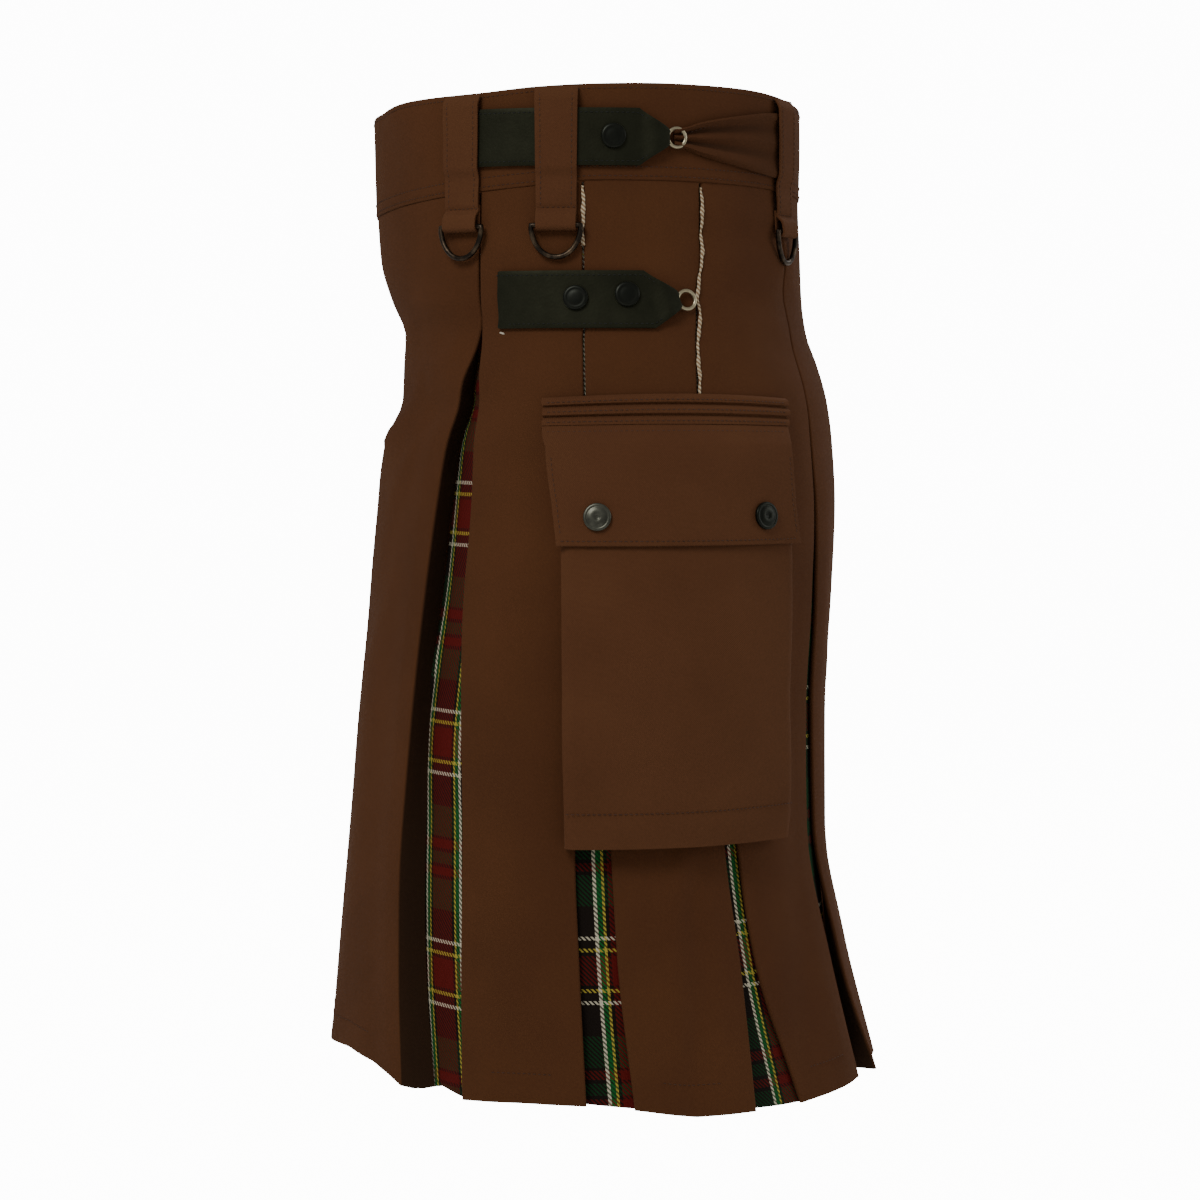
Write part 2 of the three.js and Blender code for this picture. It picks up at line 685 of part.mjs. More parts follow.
function beltLoop(arc) {
  const frame = loopFrame(arc);
  const knots = loopProfile(arc);
  const side = (distance) => knots.map((knot, index) => {
    const before = knots[Math.max(index - 1, 0)];
    const after = knots[Math.min(index + 1, knots.length - 1)];
    const along = new THREE.Vector2(after.drop - before.drop, after.out - before.out).normalize();
    const share = Math.min(knot.drop / BAR.drop, 1);
    const half = (LOOP_WIDTH_TOP + share * (LOOP_WIDTH_ROLL - LOOP_WIDTH_TOP)) / 2;
    return [-half, half].map((sideways) =>
      frame.at(knot.drop - along.y * distance, knot.out + along.x * distance, sideways));
  });
  return shell(side(CLOTH / 2), side(-CLOTH / 2));
}

// A closed wire ring along a flat path given as across and down from the bar
function wireRing(path, wire, sides) {
  const points = [];
  const faces = [];
  path.forEach((spotOnPath, index) => {
    const before = path[(index + path.length - 1) % path.length];
    const after = path[(index + 1) % path.length];
    const first = spotOnPath.clone().sub(before).normalize();
    const second = after.clone().sub(spotOnPath).normalize();
    const along = first.clone().add(second).normalize();
    const reach = wire / 2 / along.dot(first);
    for (let side = 0; side < sides; side += 1) {
      const turned = (side + 0.5) / sides * 2 * Math.PI;
      const sideways = reach * Math.cos(turned);
      points.push(new THREE.Vector3(
        spotOnPath.x - along.y * sideways,
        wire / 2 * Math.sin(turned),
        spotOnPath.y + along.x * sideways,
      ));
      const next = (index + 1) % path.length;
      const beside = (side + 1) % sides;
      faces.push(...quad(
        index * sides + side,
        next * sides + side,
        next * sides + beside,
        index * sides + beside,
      ));
    }
  });
  return closedBody(points, faces);
}

function dRingGeometry() {
  const half = (D_RING_WIDTH - RING_WIRE) / 2;
  const depth = D_RING_HEIGHT - RING_WIRE;
  const bend = (value) => Math.abs(value) ** (2 / D_RING_SQUARENESS);
  const path = [new THREE.Vector2(-half, 0), new THREE.Vector2(half, 0)];
  for (let degrees = 15; degrees < 180; degrees += 15) {
    const turned = THREE.MathUtils.degToRad(degrees);
    const across = Math.sign(Math.cos(turned)) * half * bend(Math.cos(turned));
    path.push(new THREE.Vector2(across, -depth * bend(Math.sin(turned))));
  }
  return wireRing(path, RING_WIRE, 6);
}

// Each side is a turned or unturned copy; sideSign is 1 on the wearer's left
function sidePoint(point, sideSign) {
  return new THREE.Vector3(sideSign * point.x, point.y, point.z);
}

function addUpright(name, geometry, material, position, normal, sideSign, lean = 0) {
  const mesh = addPiece(name, geometry.clone(), material());
  const outward = sidePoint(normal, sideSign);
  mesh.position.copy(sidePoint(position, sideSign));
  mesh.rotation.set(lean, 0, Math.atan2(-outward.x, outward.y), 'ZYX');
  return mesh;
}

const SIDES = [
  { word: 'left', sideSign: 1 },
  { word: 'right', sideSign: -1 },
];

for (const loop of LOOPS) {
  addPair(`belt_loop_${loop.name}`, beltLoop(loop.arc), TWILL);
  const frame = loopFrame(loop.arc);
  const bar = frame.at(BAR.drop, BAR.out, 0);
  for (const { word, sideSign } of SIDES) {
    addUpright(`d_ring_${loop.name}_${word}`, dRingGeometry(), DARK_METAL, bar, frame.normal, sideSign);
  }
}

// Leather strap with a pointed tip that rides over its small ring
function strapGeometry(strap) {
  const flatLevel = strap.face + SEAM_GAP + LEATHER / 2;
  const ringTop = strap.face + SEAM_GAP + SMALL_RING.wire;
  const raised = ringTop + SEAM_GAP + LEATHER / 2;
  const knots = [];
  const body = strap.tip - TIP_LENGTH;
  const steps = Math.ceil((body - strap.start) / STRAP_STEP);
  for (let step = 0; step <= steps; step += 1) {
    const arc = strap.start + (body - strap.start) * step / steps;
    knots.push({ arc, out: flatLevel, half: STRAP_HEIGHT / 2 });
  }
  for (const short of [6, 0]) {
    const half = TIP_HALF_HEIGHT + (STRAP_HEIGHT / 2 - TIP_HALF_HEIGHT) * short / TIP_LENGTH;
    knots.push({ arc: strap.tip - short, out: raised, half });
  }
  const edge = (side) => knots.map(({ arc, out, half }) => ({ drop: strap.drop + side * half, arc, out }));
  return wall([edge(-1), edge(0), edge(1)], LEATHER);
}

// How far the surface comes out for each millimetre down, as an angle to lean a flat piece by
function leanAt(drop, arc, outAt) {
  const step = 8;
  const share = arc / halfRoundAt(drop);
  const { point, normal } = spot(drop, arc);
  const reach = (at) => place(at, share * halfRoundAt(at), outAt(at)).sub(point).dot(normal);
  return Math.atan2(reach(drop + step) - reach(drop - step), 2 * step);
}

function addOnSurface(name, geometry, material, drop, arc, outAt) {
  const { point, normal } = spot(drop, arc, outAt(drop));
  const lean = leanAt(drop, arc, outAt);
  for (const { word, sideSign } of SIDES) {
    addUpright(`${name}_${word}`, geometry, material, point, normal, sideSign, lean);
  }
}

function smallRingGeometry() {
  const ring = new THREE.TorusGeometry(SMALL_RING.radius, SMALL_RING.wire / 2, 6, 16);
  return ring.rotateX(Math.PI / 2);
}

for (const strap of STRAPS) {
  addPair(`strap_${strap.name}`, strapGeometry(strap), HIDE);
  const level = strap.face + SEAM_GAP + SMALL_RING.wire / 2;
  const arc = strap.tip + SMALL_RING.beyondTip;
  addOnSurface(`strap_ring_${strap.name}`, smallRingGeometry(), PALE_METAL, strap.drop, arc, () => level);
}

// Cloth tab from the upper ring back to the rear belt loop
const tabEdge = (side) => TAB.map(({ arc, half, out }) => ({ drop: STRAPS[0].drop + side * half, arc, out }));
addPair('side_tab', wall([tabEdge(-1), tabEdge(1)], CLOTH), TWILL);

// Snap cap: a low dome with a rolled rim, turned about its own axis
function snapGeometry({ radius, height }) {
  const profile = [
    new THREE.Vector2(0, 0),
    new THREE.Vector2(radius, 0),
    new THREE.Vector2(radius, height * 0.55),
    new THREE.Vector2(radius * 0.78, height * 0.72),
    new THREE.Vector2(0, height),
  ];
  return new THREE.LatheGeometry(profile, 12);
}

for (const snap of STRAP_SNAPS) {
  const strap = STRAPS[snap.strap];
  const level = strap.face + SEAM_GAP + LEATHER + SNAP_SEAT;
  addOnSurface(`snap_${snap.name}`, snapGeometry(STRAP_SNAP), DARK_METAL, snap.drop, snap.arc, () => level);
}

// Cargo pocket
const pocketArc = (drop, share) => {
  const left = readTable(POCKET_SIDES, 'drop', drop, 'left');
  const right = readTable(POCKET_SIDES, 'drop', drop, 'right');
  return left + share * (right - left);
};

const spread = (columns) => Array.from({ length: columns }, (_, column) => column / (columns - 1));

function headingGeometry() {
  const face = (outOf) => HEADING.map((row) =>
    spread(HEADING_COLUMNS).map((share) => place(row.drop, pocketArc(row.drop, share), outOf(row))));
  return shell(face((row) => row.out), face(() => HEADING_BACK));
}

function flapGeometry() {
  const lines = FLAP.map((row) =>
    spread(POCKET_COLUMNS).map((share) => ({ drop: row.drop, arc: pocketArc(row.drop, share), out: row.out })));
  return wall(lines, FLAP_THICKNESS);
}

// Pouch: closed rings round a hollow, with a higher rim at the back than at the front
function pouchRing(level) {
  const rim = HEADING[HEADING.length - 1].drop + 2 * SEAM_GAP;
  const backDrop = rim + level * (POCKET_BOTTOM - rim);
  const frontDrop = POCKET_RIM_FRONT + level * (POCKET_BOTTOM - POCKET_RIM_FRONT);
  const front = readTable(POCKET_FRONT, 'drop', frontDrop, 'out');
  const shares = spread(POCKET_COLUMNS);
  const backSide = shares.map((share) => ({
    drop: backDrop,
    arc: pocketArc(backDrop, share) + POCKET_INSET * (1 - 2 * share),
    out: POCKET_BACK,
  }));
  const frontSide = shares.map((share) => ({
    drop: frontDrop,
    arc: pocketArc(frontDrop, share) + 1.5 * POCKET_INSET * (1 - 2 * share),
    out: share === 0 || share === 1 ? front - POCKET_INSET : front,
  }));
  return [...frontSide, ...backSide.reverse()];
}

function movedRing(ring, distance, drop) {
  const count = ring.length;
  const heading = (from, to) => new THREE.Vector2(to.arc - from.arc, to.out - from.out).normalize();
  return ring.map((knot, index) => {
    const before = heading(ring[(index + count - 1) % count], knot);
    const after = heading(knot, ring[(index + 1) % count]);
    const along = before.clone().add(after).normalize();
    const reach = distance / along.dot(before);
    return place(drop ?? knot.drop, knot.arc - along.y * reach, knot.out + along.x * reach);
  });
}

function pouchGeometry() {
  const rings = POCKET_LEVELS.map(pouchRing);
  const floor = POCKET_BOTTOM - CLOTH;
  const outer = rings.map((ring) => movedRing(ring, CLOTH / 2));
  const inner = rings.map((ring, index) =>
    movedRing(ring, -CLOTH / 2, index === rings.length - 1 ? floor : undefined));
  const points = [...outer.flat(), ...inner.flat()];
  const count = outer[0].length;
  const rows = rings.length;
  const outside = (row, column) => row * count + column % count;
  const inside = (row, column) => rows * count + outside(row, column);
  const faces = [];
  for (let column = 0; column < count; column += 1) {
    const next = column + 1;
    for (let row = 0; row < rows - 1; row += 1) {
      faces.push(...quad(outside(row, column), outside(row + 1, column), outside(row + 1, next), outside(row, next)));
      faces.push(...quad(inside(row, column), inside(row, next), inside(row + 1, next), inside(row + 1, column)));
    }
    faces.push(...quad(outside(0, column), outside(0, next), inside(0, next), inside(0, column)));
  }
  const last = rows - 1;
  for (let column = 0; column < POCKET_COLUMNS - 1; column += 1) {
    const behind = count - 1 - column;
    const [a, b, c, d] = [column, behind, behind - 1, column + 1];
    faces.push(...quad(outside(last, a), outside(last, b), outside(last, c), outside(last, d)));
    faces.push(...quad(inside(last, a), inside(last, d), inside(last, c), inside(last, b)));
  }
  return closedBody(points, faces);
}

addPair('pocket_heading', headingGeometry(), TWILL);
addPair('pocket_flap', flapGeometry(), TWILL);
addPair('pocket_bag', pouchGeometry(), TWILL);
for (const snap of FLAP_SNAPS) {
  const outAt = (drop) => readTable(FLAP, 'drop', drop, 'out') + FLAP_THICKNESS / 2 + SNAP_SEAT;
  addOnSurface(`flap_snap_${snap.name}`, snapGeometry(FLAP_SNAP), DARK_METAL, snap.drop, snap.arc, outAt);
}

export default kilt;
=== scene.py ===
import math
import bpy
import numpy as np
from mathutils import Matrix, Vector


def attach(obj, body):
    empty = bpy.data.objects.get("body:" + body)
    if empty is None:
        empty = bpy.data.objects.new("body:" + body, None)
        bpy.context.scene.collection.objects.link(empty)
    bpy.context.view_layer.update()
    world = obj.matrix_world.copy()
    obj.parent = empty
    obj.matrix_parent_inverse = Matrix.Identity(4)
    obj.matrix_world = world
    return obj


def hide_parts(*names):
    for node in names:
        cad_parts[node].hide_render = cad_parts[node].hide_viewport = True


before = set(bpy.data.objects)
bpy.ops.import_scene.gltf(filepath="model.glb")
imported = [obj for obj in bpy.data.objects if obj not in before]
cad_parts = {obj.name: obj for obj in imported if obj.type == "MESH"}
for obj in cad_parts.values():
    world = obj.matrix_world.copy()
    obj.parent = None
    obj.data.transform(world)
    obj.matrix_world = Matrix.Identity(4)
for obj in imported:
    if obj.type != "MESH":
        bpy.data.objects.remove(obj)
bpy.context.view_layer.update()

# Waistband. A double strip of brown cotton twill, turned at its top edge and topstitched along both,
# that closes under the front apron. The worn form that all the cloth is hung on is set out here first.

LENGTH = 610.0
TOP_Z = 29.0
CLOTH_TOP = 58.3
SQUARENESS = 2.2

# Sections of the worn form in millimetres: drop below the top edge, front, back, half width
SECTIONS = [
    (0, -134.8, 134.2, 156), (29, -134.2, 134.5, 156), (58.3, -133.5, 134, 157), (100, -131, 135.5, 159),
    (125, -123.9, 136.5, 161), (147, -115.5, 139.5, 164.5), (165, -116.5, 146, 169),
    (188, -117.4, 152.5, 173), (214, -128.4, 156, 178), (253, -132.5, 158, 184),
    (310, -138.6, 155.7, 189.6), (380, -146.2, 151.2, 195.7), (450, -152, 151.2, 201),
    (530, -158.8, 163.4, 209), (610, -165.5, 181, 218),
]

# Soft creases pressed into everything that hangs there: drop and arc at both ends, width, depth (out is plus)
CREASES = [
    (128, 138, 146, 49, 9, 1.6), (139, 148, 174, 97, 9, -2.0), (147, 144, 209, 53, 11, 2.4),
    (156, 152, 220, 99, 10, -2.2), (172, 140, 246, 84, 12, 2.0), (205, 120, 330, 66, 16, -1.2),
    (300, 92, 590, 74, 22, 1.6), (330, 40, 590, 30, 26, -1.5), (240, 10, 420, -60, 22, 1.2),
    (73, 240, 72, 299, 8, 0.5), (97, 240, 95, 302, 8, -0.5), (112, 250, 118, 296, 6, 0.4),
    (77, 312, 74, 396, 7, 0.8), (90, 306, 84, 400, 6, -0.7), (105, 308, 103, 402, 8, 0.8),
    (122, 306, 128, 390, 8, -0.7), (142, 308, 150, 380, 9, 0.7), (168, 316, 160, 400, 10, -0.7),
    (461, 341, 600, 357, 9, 1.7), (470, 352, 600, 369, 8, -1.3), (300, 214, 590, 244, 24, 1.0),
    (260, 196, 560, 226, 13, -0.9), (6, 82, 40, 128, 10, 0.7), (20, 60, 60, 110, 12, -0.6),
    (250, 452, 600, 500, 22, 1.6), (300, 420, 600, 458, 16, -1.2), (360, 500, 600, 540, 18, 1.2),
]

CREASE_DEPTH = 1.5


def table_curve(rows, column, at):
    """One column of a table as a smooth curve over its first column, with no overshoot between rows."""
    table = np.array(rows, dtype=float)
    x, y = table[:, 0], table[:, column]
    step = np.diff(x)
    slope = np.diff(y) / step
    tilt = np.zeros_like(y)
    tilt[0], tilt[-1] = slope[0], slope[-1]
    for k in range(1, len(x) - 1):
        if slope[k - 1] * slope[k] > 0:
            near, far = 2 * step[k] + step[k - 1], step[k] + 2 * step[k - 1]
            tilt[k] = (near + far) / (near / slope[k - 1] + far / slope[k])
    held = np.clip(at, x[0], x[-1])
    k = np.clip(np.searchsorted(x, held, side="right") - 1, 0, len(x) - 2)
    t = (held - x[k]) / step[k]
    return ((1 + 2 * t) * (1 - t) ** 2 * y[k] + t * (1 - t) ** 2 * step[k] * tilt[k]
            + t ** 2 * (3 - 2 * t) * y[k + 1] + t ** 2 * (t - 1) * step[k] * tilt[k + 1])


def straight(rows, column, at):
    """One column of a table read in straight lines."""
    table = np.array(rows, dtype=float)
    return np.interp(at, table[:, 0], table[:, column])


def bent(value, power):
    return np.sign(value) * np.abs(value) ** power


def eased(value):
    """Rises softly from 0 to 1 as the value does."""
    held = np.clip(value, 0, 1)
    return held * held * (3 - 2 * held)


# Angle round the oval at each drop and share of the half round, so that a point is found by its arc
FORM_STEP = 4.0
FORM_DROPS = np.arange(0.0, 624.0, FORM_STEP)
FORM_SHARES = np.linspace(0.0, 1.0, 1201)
form_front, form_back, form_half = (table_curve(SECTIONS, column, FORM_DROPS) for column in (1, 2, 3))
form_middle, form_depth = (form_front + form_back) / 2, (form_back - form_front) / 2
steps_round = np.linspace(0.0, np.pi, 1441)
form_round = np.zeros(len(FORM_DROPS))
form_angles = np.zeros((len(FORM_DROPS), len(FORM_SHARES)))
for k in range(len(FORM_DROPS)):
    across = form_half[k] * bent(np.sin(steps_round), 2 / SQUARENESS)
    along = form_middle[k] - form_depth[k] * bent(np.cos(steps_round), 2 / SQUARENESS)
    lengths = np.concatenate([[0], np.cumsum(np.hypot(np.diff(across), np.diff(along)))])
    form_round[k] = lengths[-1]
    form_angles[k] = np.interp(FORM_SHARES * lengths[-1], lengths, steps_round)


def half_round(drop):
    return np.interp(drop, FORM_DROPS, form_round)


def crease_out(drop, arc):
    """How far the soft creases push the cloth out, the same on both sides of the kilt."""
    round_it = 2 * half_round(drop)
    turned = np.mod(arc, round_it)
    reach = np.where(turned > round_it / 2, turned - round_it, turned)
    reach = np.where((reach < 0) & (reach > -60), reach, np.abs(reach))
    total = np.zeros(np.broadcast(drop, arc).shape)
    for drop_a, arc_a, drop_b, arc_b, width, depth in CREASES:
        down, over = drop_b - drop_a, arc_b - arc_a
        length = math.hypot(down, over)
        share = np.clip(((drop - drop_a) * down + (reach - arc_a) * over) / length ** 2, 0, 1)
        wander = width * 0.35 * np.sin(share * 6.1 + drop_a)
        gap_down = drop - drop_a - share * down + wander * over / length
        gap_over = reach - arc_a - share * over - wander * down / length
        swell = 0.75 + 0.25 * np.sin(share * 9.0 + arc_a)
        total += depth * swell * np.exp(-(gap_down ** 2 + gap_over ** 2) / width ** 2)
    return total * CREASE_DEPTH


def spot(drop, arc, out=0.0, creased=True):
    """Points on the worn form in metres and their outward normals, from drop, arc and distance out."""
    drop, arc, out = (np.array(part, dtype=float) for part in np.broadcast_arrays(drop, arc, out))
    if creased:
        out = out + crease_out(drop, arc)
    row = np.clip(drop / FORM_STEP, 0, len(FORM_DROPS) - 1.001)
    low = row.astype(int)
    part = row - low
    between = lambda values: values[low] * (1 - part) + values[low + 1] * part
    rounding = between(form_round)
    turned = np.mod(arc, 2 * rounding)
    side = np.where(turned > rounding, -1.0, 1.0)
    share = np.where(side > 0, turned, 2 * rounding - turned) / rounding * (len(FORM_SHARES) - 1)
    left = np.clip(share.astype(int), 0, len(FORM_SHARES) - 2)
    over = share - left
    angle = ((form_angles[low, left] * (1 - over) + form_angles[low, left + 1] * over) * (1 - part)
             + (form_angles[low + 1, left] * (1 - over) + form_angles[low + 1, left + 1] * over) * part)
    half, depth = between(form_half), between(form_depth)
    x = half * bent(np.sin(angle), 2 / SQUARENESS)
    y = -depth * bent(np.cos(angle), 2 / SQUARENESS)
    normal_x, normal_y = bent(x / half, SQUARENESS - 1) / half, bent(y / depth, SQUARENESS - 1) / depth
    size = np.hypot(normal_x, normal_y)
    normal_x, normal_y = normal_x / size, normal_y / size
    across = side * (x + normal_x * out)
    along = y + between(form_middle) + normal_y * out
    points = np.stack([across, along, TOP_Z - drop], -1) / 1000
    return points, np.stack([side * normal_x, normal_y, np.zeros_like(x)], -1)


def place(drop, arc, out=0.0):
    return spot(drop, arc, out)[0]


SIDES = ("left", "right")


def on_side(points, side):
    """Points or directions of the wearer's left side, mirrored for the right."""
    return points * np.array([-1.0, 1.0, 1.0]) if side == "right" else points


def both_sides(path, normals):
    """A row for stitches on the left side, and its mirror on the right."""
    return [(on_side(path, side), on_side(normals, side)) for side in SIDES]


def new_piece(name, points, faces, material):
    """A mesh object of the garment, at the origin, from points and faces, with its material."""
    mesh = bpy.data.meshes.new(name)
    mesh.from_pydata([tuple(point) for point in points], [], faces)
    mesh.materials.append(material)
    mesh.shade_smooth()
    piece = bpy.data.objects.new(name, mesh)
    bpy.context.collection.objects.link(piece)
    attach(piece, "garment")
    return piece


def add_uv(piece, coordinates):
    """Flat cloth coordinates in metres, one pair for each point."""
    layer = piece.data.uv_layers.new(name="cloth")
    indices = np.zeros(len(piece.data.loops), dtype=int)
    piece.data.loops.foreach_get("vertex_index", indices)
    layer.data.foreach_set("uv", np.asarray(coordinates)[indices].ravel())


def select_only(piece):
    bpy.ops.object.select_all(action="DESELECT")
    bpy.context.view_layer.objects.active = piece
    piece.select_set(True)


def round_edges(piece, width, degrees):
    """Rounds the edges of the active piece that turn by more than some degrees."""
    edge = piece.modifiers.new("edge", "BEVEL")
    edge.width, edge.segments = width, 2
    edge.limit_method, edge.angle_limit = "ANGLE", math.radians(degrees)
    bpy.ops.object.modifier_apply(modifier=edge.name)


# Edges of cloth and leather that turn by more degrees than this are sharp
SHARP = 50


def thicken(piece, thickness, rounding=0.0):
    """Gives a sheet its wall, equal on both sides, and rounds its cut edges."""
    select_only(piece)
    wall = piece.modifiers.new("wall", "SOLIDIFY")
    wall.thickness, wall.offset, wall.use_even_offset = thickness, 0.0, True
    bpy.ops.object.modifier_apply(modifier=wall.name)
    if rounding:
        round_edges(piece, rounding, SHARP)
    bpy.ops.object.shade_smooth_by_angle(angle=math.radians(SHARP))


def grid_faces(rows, columns, flip=False):
    faces = []
    for row in range(rows - 1):
        for column in range(columns - 1):
            a = row * columns + column
            face = (a, a + columns, a + columns + 1, a + 1)
            faces.append(face[::-1] if flip else face)
    return faces


def sheet_piece(name, points, uv, material, slot, thickness, flip=False, rounding=0.0, unfaded=None):
    """A thin shell from a grid of points, rows running down and columns running round to the left."""
    rows, columns = points.shape[:2]
    piece = new_piece(name, points.reshape(-1, 3), grid_faces(rows, columns, flip), material)
    add_uv(piece, uv.reshape(-1, 2))
    # Painted shade: a share at each point that darkens the twill where shade falls
    if unfaded is not None:
        piece.data.attributes.new("unfaded", "FLOAT", "POINT").data.foreach_set("value", unfaded.ravel())
    thicken(piece, thickness, rounding)
    return piece


def sheet_pair(name, points, uv, material, slot, thickness, stuff="cloth", **more):
    """The same shell on both sides, from the grid of the left one, each in place of its solid."""
    pair = []
    for side in SIDES:
        piece = sheet_piece(f"{name}_{side}_{stuff}", on_side(points, side), uv, material, slot, thickness,
                            flip=side == "right", **more)
        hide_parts(f"{name}_{side}")
        pair.append(piece)
    return pair


def flat_uv(arc, out, drop):
    """Distance along the cloth from its middle column, and down it, in metres."""
    steps = np.hypot(np.diff(arc, axis=1), np.diff(out, axis=1))
    along = np.concatenate([np.zeros((len(arc), 1)), np.cumsum(steps, axis=1)], axis=1)
    along -= along[:, [arc.shape[1] // 2]]
    return np.stack([along, -np.broadcast_to(drop, arc.shape)], -1) / 1000


class Tree:
    """A node tree in the making, with a short way to add each kind of node that the materials share."""

    def __init__(self, tree):
        self.nodes, self.links = tree.nodes, tree.links

    def feed(self, node, inputs):
        """Sets inputs of a node, each to a fixed value or to the output of another node."""
        for name, value in inputs.items():
            if hasattr(value, "links"):
                self.links.new(value, node.inputs[name])
            else:
                node.inputs[name].default_value = value

    def add(self, kind, inputs, **settings):
        """Outputs of a new node."""
        node = self.nodes.new(kind)
        for name, value in settings.items():
            setattr(node, name, value)
        self.feed(node, inputs)
        return node.outputs

    def math(self, operation, first, second=0.5):
        return self.add("ShaderNodeMath", {0: first, 1: second}, operation=operation)[0]

    def mix(self, factor, first, second):
        """A mix of two colours."""
        return self.add("ShaderNodeMix", {0: factor, 6: first, 7: second}, data_type="RGBA")[2]

    def where(self):
        """The place on the piece."""
        return self.add("ShaderNodeTexCoord", {})["Object"]

    def noise(self, where, scale, detail=2.0):
        return self.add("ShaderNodeTexNoise", {"Vector": where, "Scale": scale, "Detail": detail})["Fac"]

    def ranged(self, value, before=(0.0, 1.0), after=(0.0, 1.0)):
        """A value taken from one range to another."""
        limits = zip(("From Min", "From Max", "To Min", "To Max"), before + after)
        return self.add("ShaderNodeMapRange", {"Value": value, **dict(limits)})["Result"]

    def bump(self, height, strength, distance):
        inputs = {"Height": height, "Strength": strength, "Distance": distance}
        return self.add("ShaderNodeBump", inputs)["Normal"]

    def cloth(self):
        """The flat coordinates of the cloth."""
        return self.add("ShaderNodeUVMap", {}, uv_map="cloth")["UV"]

    def weave(self, pitch):
        """Mask and height of a twill's ribs."""
        return self.add("ShaderNodeGroup", {"Cloth": self.cloth(), "Rib Pitch": pitch}, node_tree=TWILL_WEAVE)

    def nap(self):
        """Clouds and flecks of the dye."""
        return self.add("ShaderNodeGroup", {"Place": self.where()}, node_tree=DYE_AND_NAP)

    def seen(self, strength):
        """A strength for camera rays alone."""
        return self.math("MULTIPLY", self.add("ShaderNodeLightPath", {})["Is Camera Ray"], strength)


def new_group(name, inputs, outputs):
    """A node group, its tree, the outputs of its start and its end node."""
    group = bpy.data.node_groups.new(name, "ShaderNodeTree")
    for socket, kind in inputs.items():
        group.interface.new_socket(socket, in_out="INPUT", socket_type=kind)
    for socket in outputs:
        group.interface.new_socket(socket, in_out="OUTPUT", socket_type="NodeSocketFloat")
    tree = Tree(group)
    return group, tree, tree.add("NodeGroupInput", {}), group.nodes.new("NodeGroupOutput")


def build_twill_weave():
    """Node group: the diagonal ribs of a twill from cloth coordinates, as a mask and a height."""
    inputs = {"Cloth": "NodeSocketVector", "Rib Pitch": "NodeSocketFloat"}
    group, tree, start, end = new_group("twill weave", inputs, ("Over", "Height"))
    split = tree.add("ShaderNodeSeparateXYZ", {0: start["Cloth"]})
    turns = tree.math("DIVIDE", tree.math("ADD", split["X"], split["Y"]), start["Rib Pitch"])
    wave = tree.math("SINE", tree.math("MULTIPLY", turns, 2 * math.pi))
    yarn_turns = tree.math("DIVIDE", split["X"], start["Rib Pitch"])
    yarn = tree.math("SINE", tree.math("MULTIPLY", yarn_turns, 4 * math.pi))
    tree.feed(end, {"Over": tree.math("GREATER_THAN", tree.math("FRACT", turns), 0.5),
                    "Height": tree.math("ADD", wave, tree.math("MULTIPLY", yarn, 0.3))})
    return group


def build_nap():
    """Node group: slow unevenness of dyed cloth in its colour, from a place on the piece."""
    group, tree, start, end = new_group("dye and nap", {"Place": "NodeSocketVector"}, ("Cloud", "Fleck"))
    tree.feed(end, {"Cloud": tree.noise(start["Place"], 14.0, 4.0),
                    "Fleck": tree.noise(start["Place"], 900.0, 2.0)})
    return group


TWILL_WEAVE = build_twill_weave()
DYE_AND_NAP = build_nap()


def new_material(name):
    material = bpy.data.materials.new(name)
    material.use_nodes = True
    return material, Tree(material.node_tree), material.node_tree.nodes["Principled BSDF"]


def srgb(red, green, blue):
    linear = lambda c: c / 255 / 12.92 if c <= 10.31 else ((c / 255 + 0.055) / 1.055) ** 2.4
    return (linear(red), linear(green), linear(blue), 1.0)


def brown_twill(name, warm, deep, pale):
    """Brown cotton twill: fine diagonal ribs, uneven dye, a soft bloom of nap, and painted shade towards deep
    brown where a piece gives a share for it.
    """
    material, tree, surface = new_material(name)
    weave, nap = tree.weave(0.0011), tree.nap()
    base = tree.mix(tree.ranged(nap["Cloud"], (0.35, 0.65)), deep, warm)
    ribs = tree.mix(tree.math("MULTIPLY", weave["Over"], 0.16), base, pale)
    faded = tree.mix(tree.math("MULTIPLY", nap["Fleck"], 0.14), ribs, pale)
    # Painted shade: each point's share darkens the twill towards deep brown in folds, returns and the tab's
    # valleys
    inside = tree.add("ShaderNodeAttribute", {}, attribute_name="unfaded")["Fac"]
    tree.feed(surface, {
        "Base Color": tree.mix(inside, faded, srgb(30, 20, 11)),
        "Normal": tree.bump(weave["Height"], 0.35, 0.00012),
        "Roughness": 0.92, "Specular IOR Level": 0.12,
        "Sheen Weight": 0.12, "Sheen Roughness": 0.5, "Sheen Tint": srgb(150, 105, 70),
    })
    return material


TWILL = brown_twill("brown twill", srgb(78, 46, 25), srgb(71, 41, 22), srgb(106, 68, 40))
# Painted light: a paler copy of the same twill for the pocket and the belt loops, which catch more light than
# the panels
LIT_TWILL = brown_twill("brown twill painted lit", srgb(84, 52, 31), srgb(77, 46, 27), srgb(112, 74, 46))

# Cloth thickness, a little less than the solids' walls so that the layers stay apart
TWILL_THICK = 0.0013


def thread_material(name, colour):
    """Sewing thread: matt, with a fine twist."""
    material, tree, surface = new_material(name)
    pale = tuple(min(1.0, channel * 1.5) for channel in colour[:3]) + (1.0,)
    twist = tree.noise(tree.where(), 1500.0)
    tree.feed(surface, {"Base Color": tree.mix(twist, colour, pale), "Roughness": 0.8})
    return material


BROWN_THREAD = thread_material("brown thread", srgb(62, 36, 20))


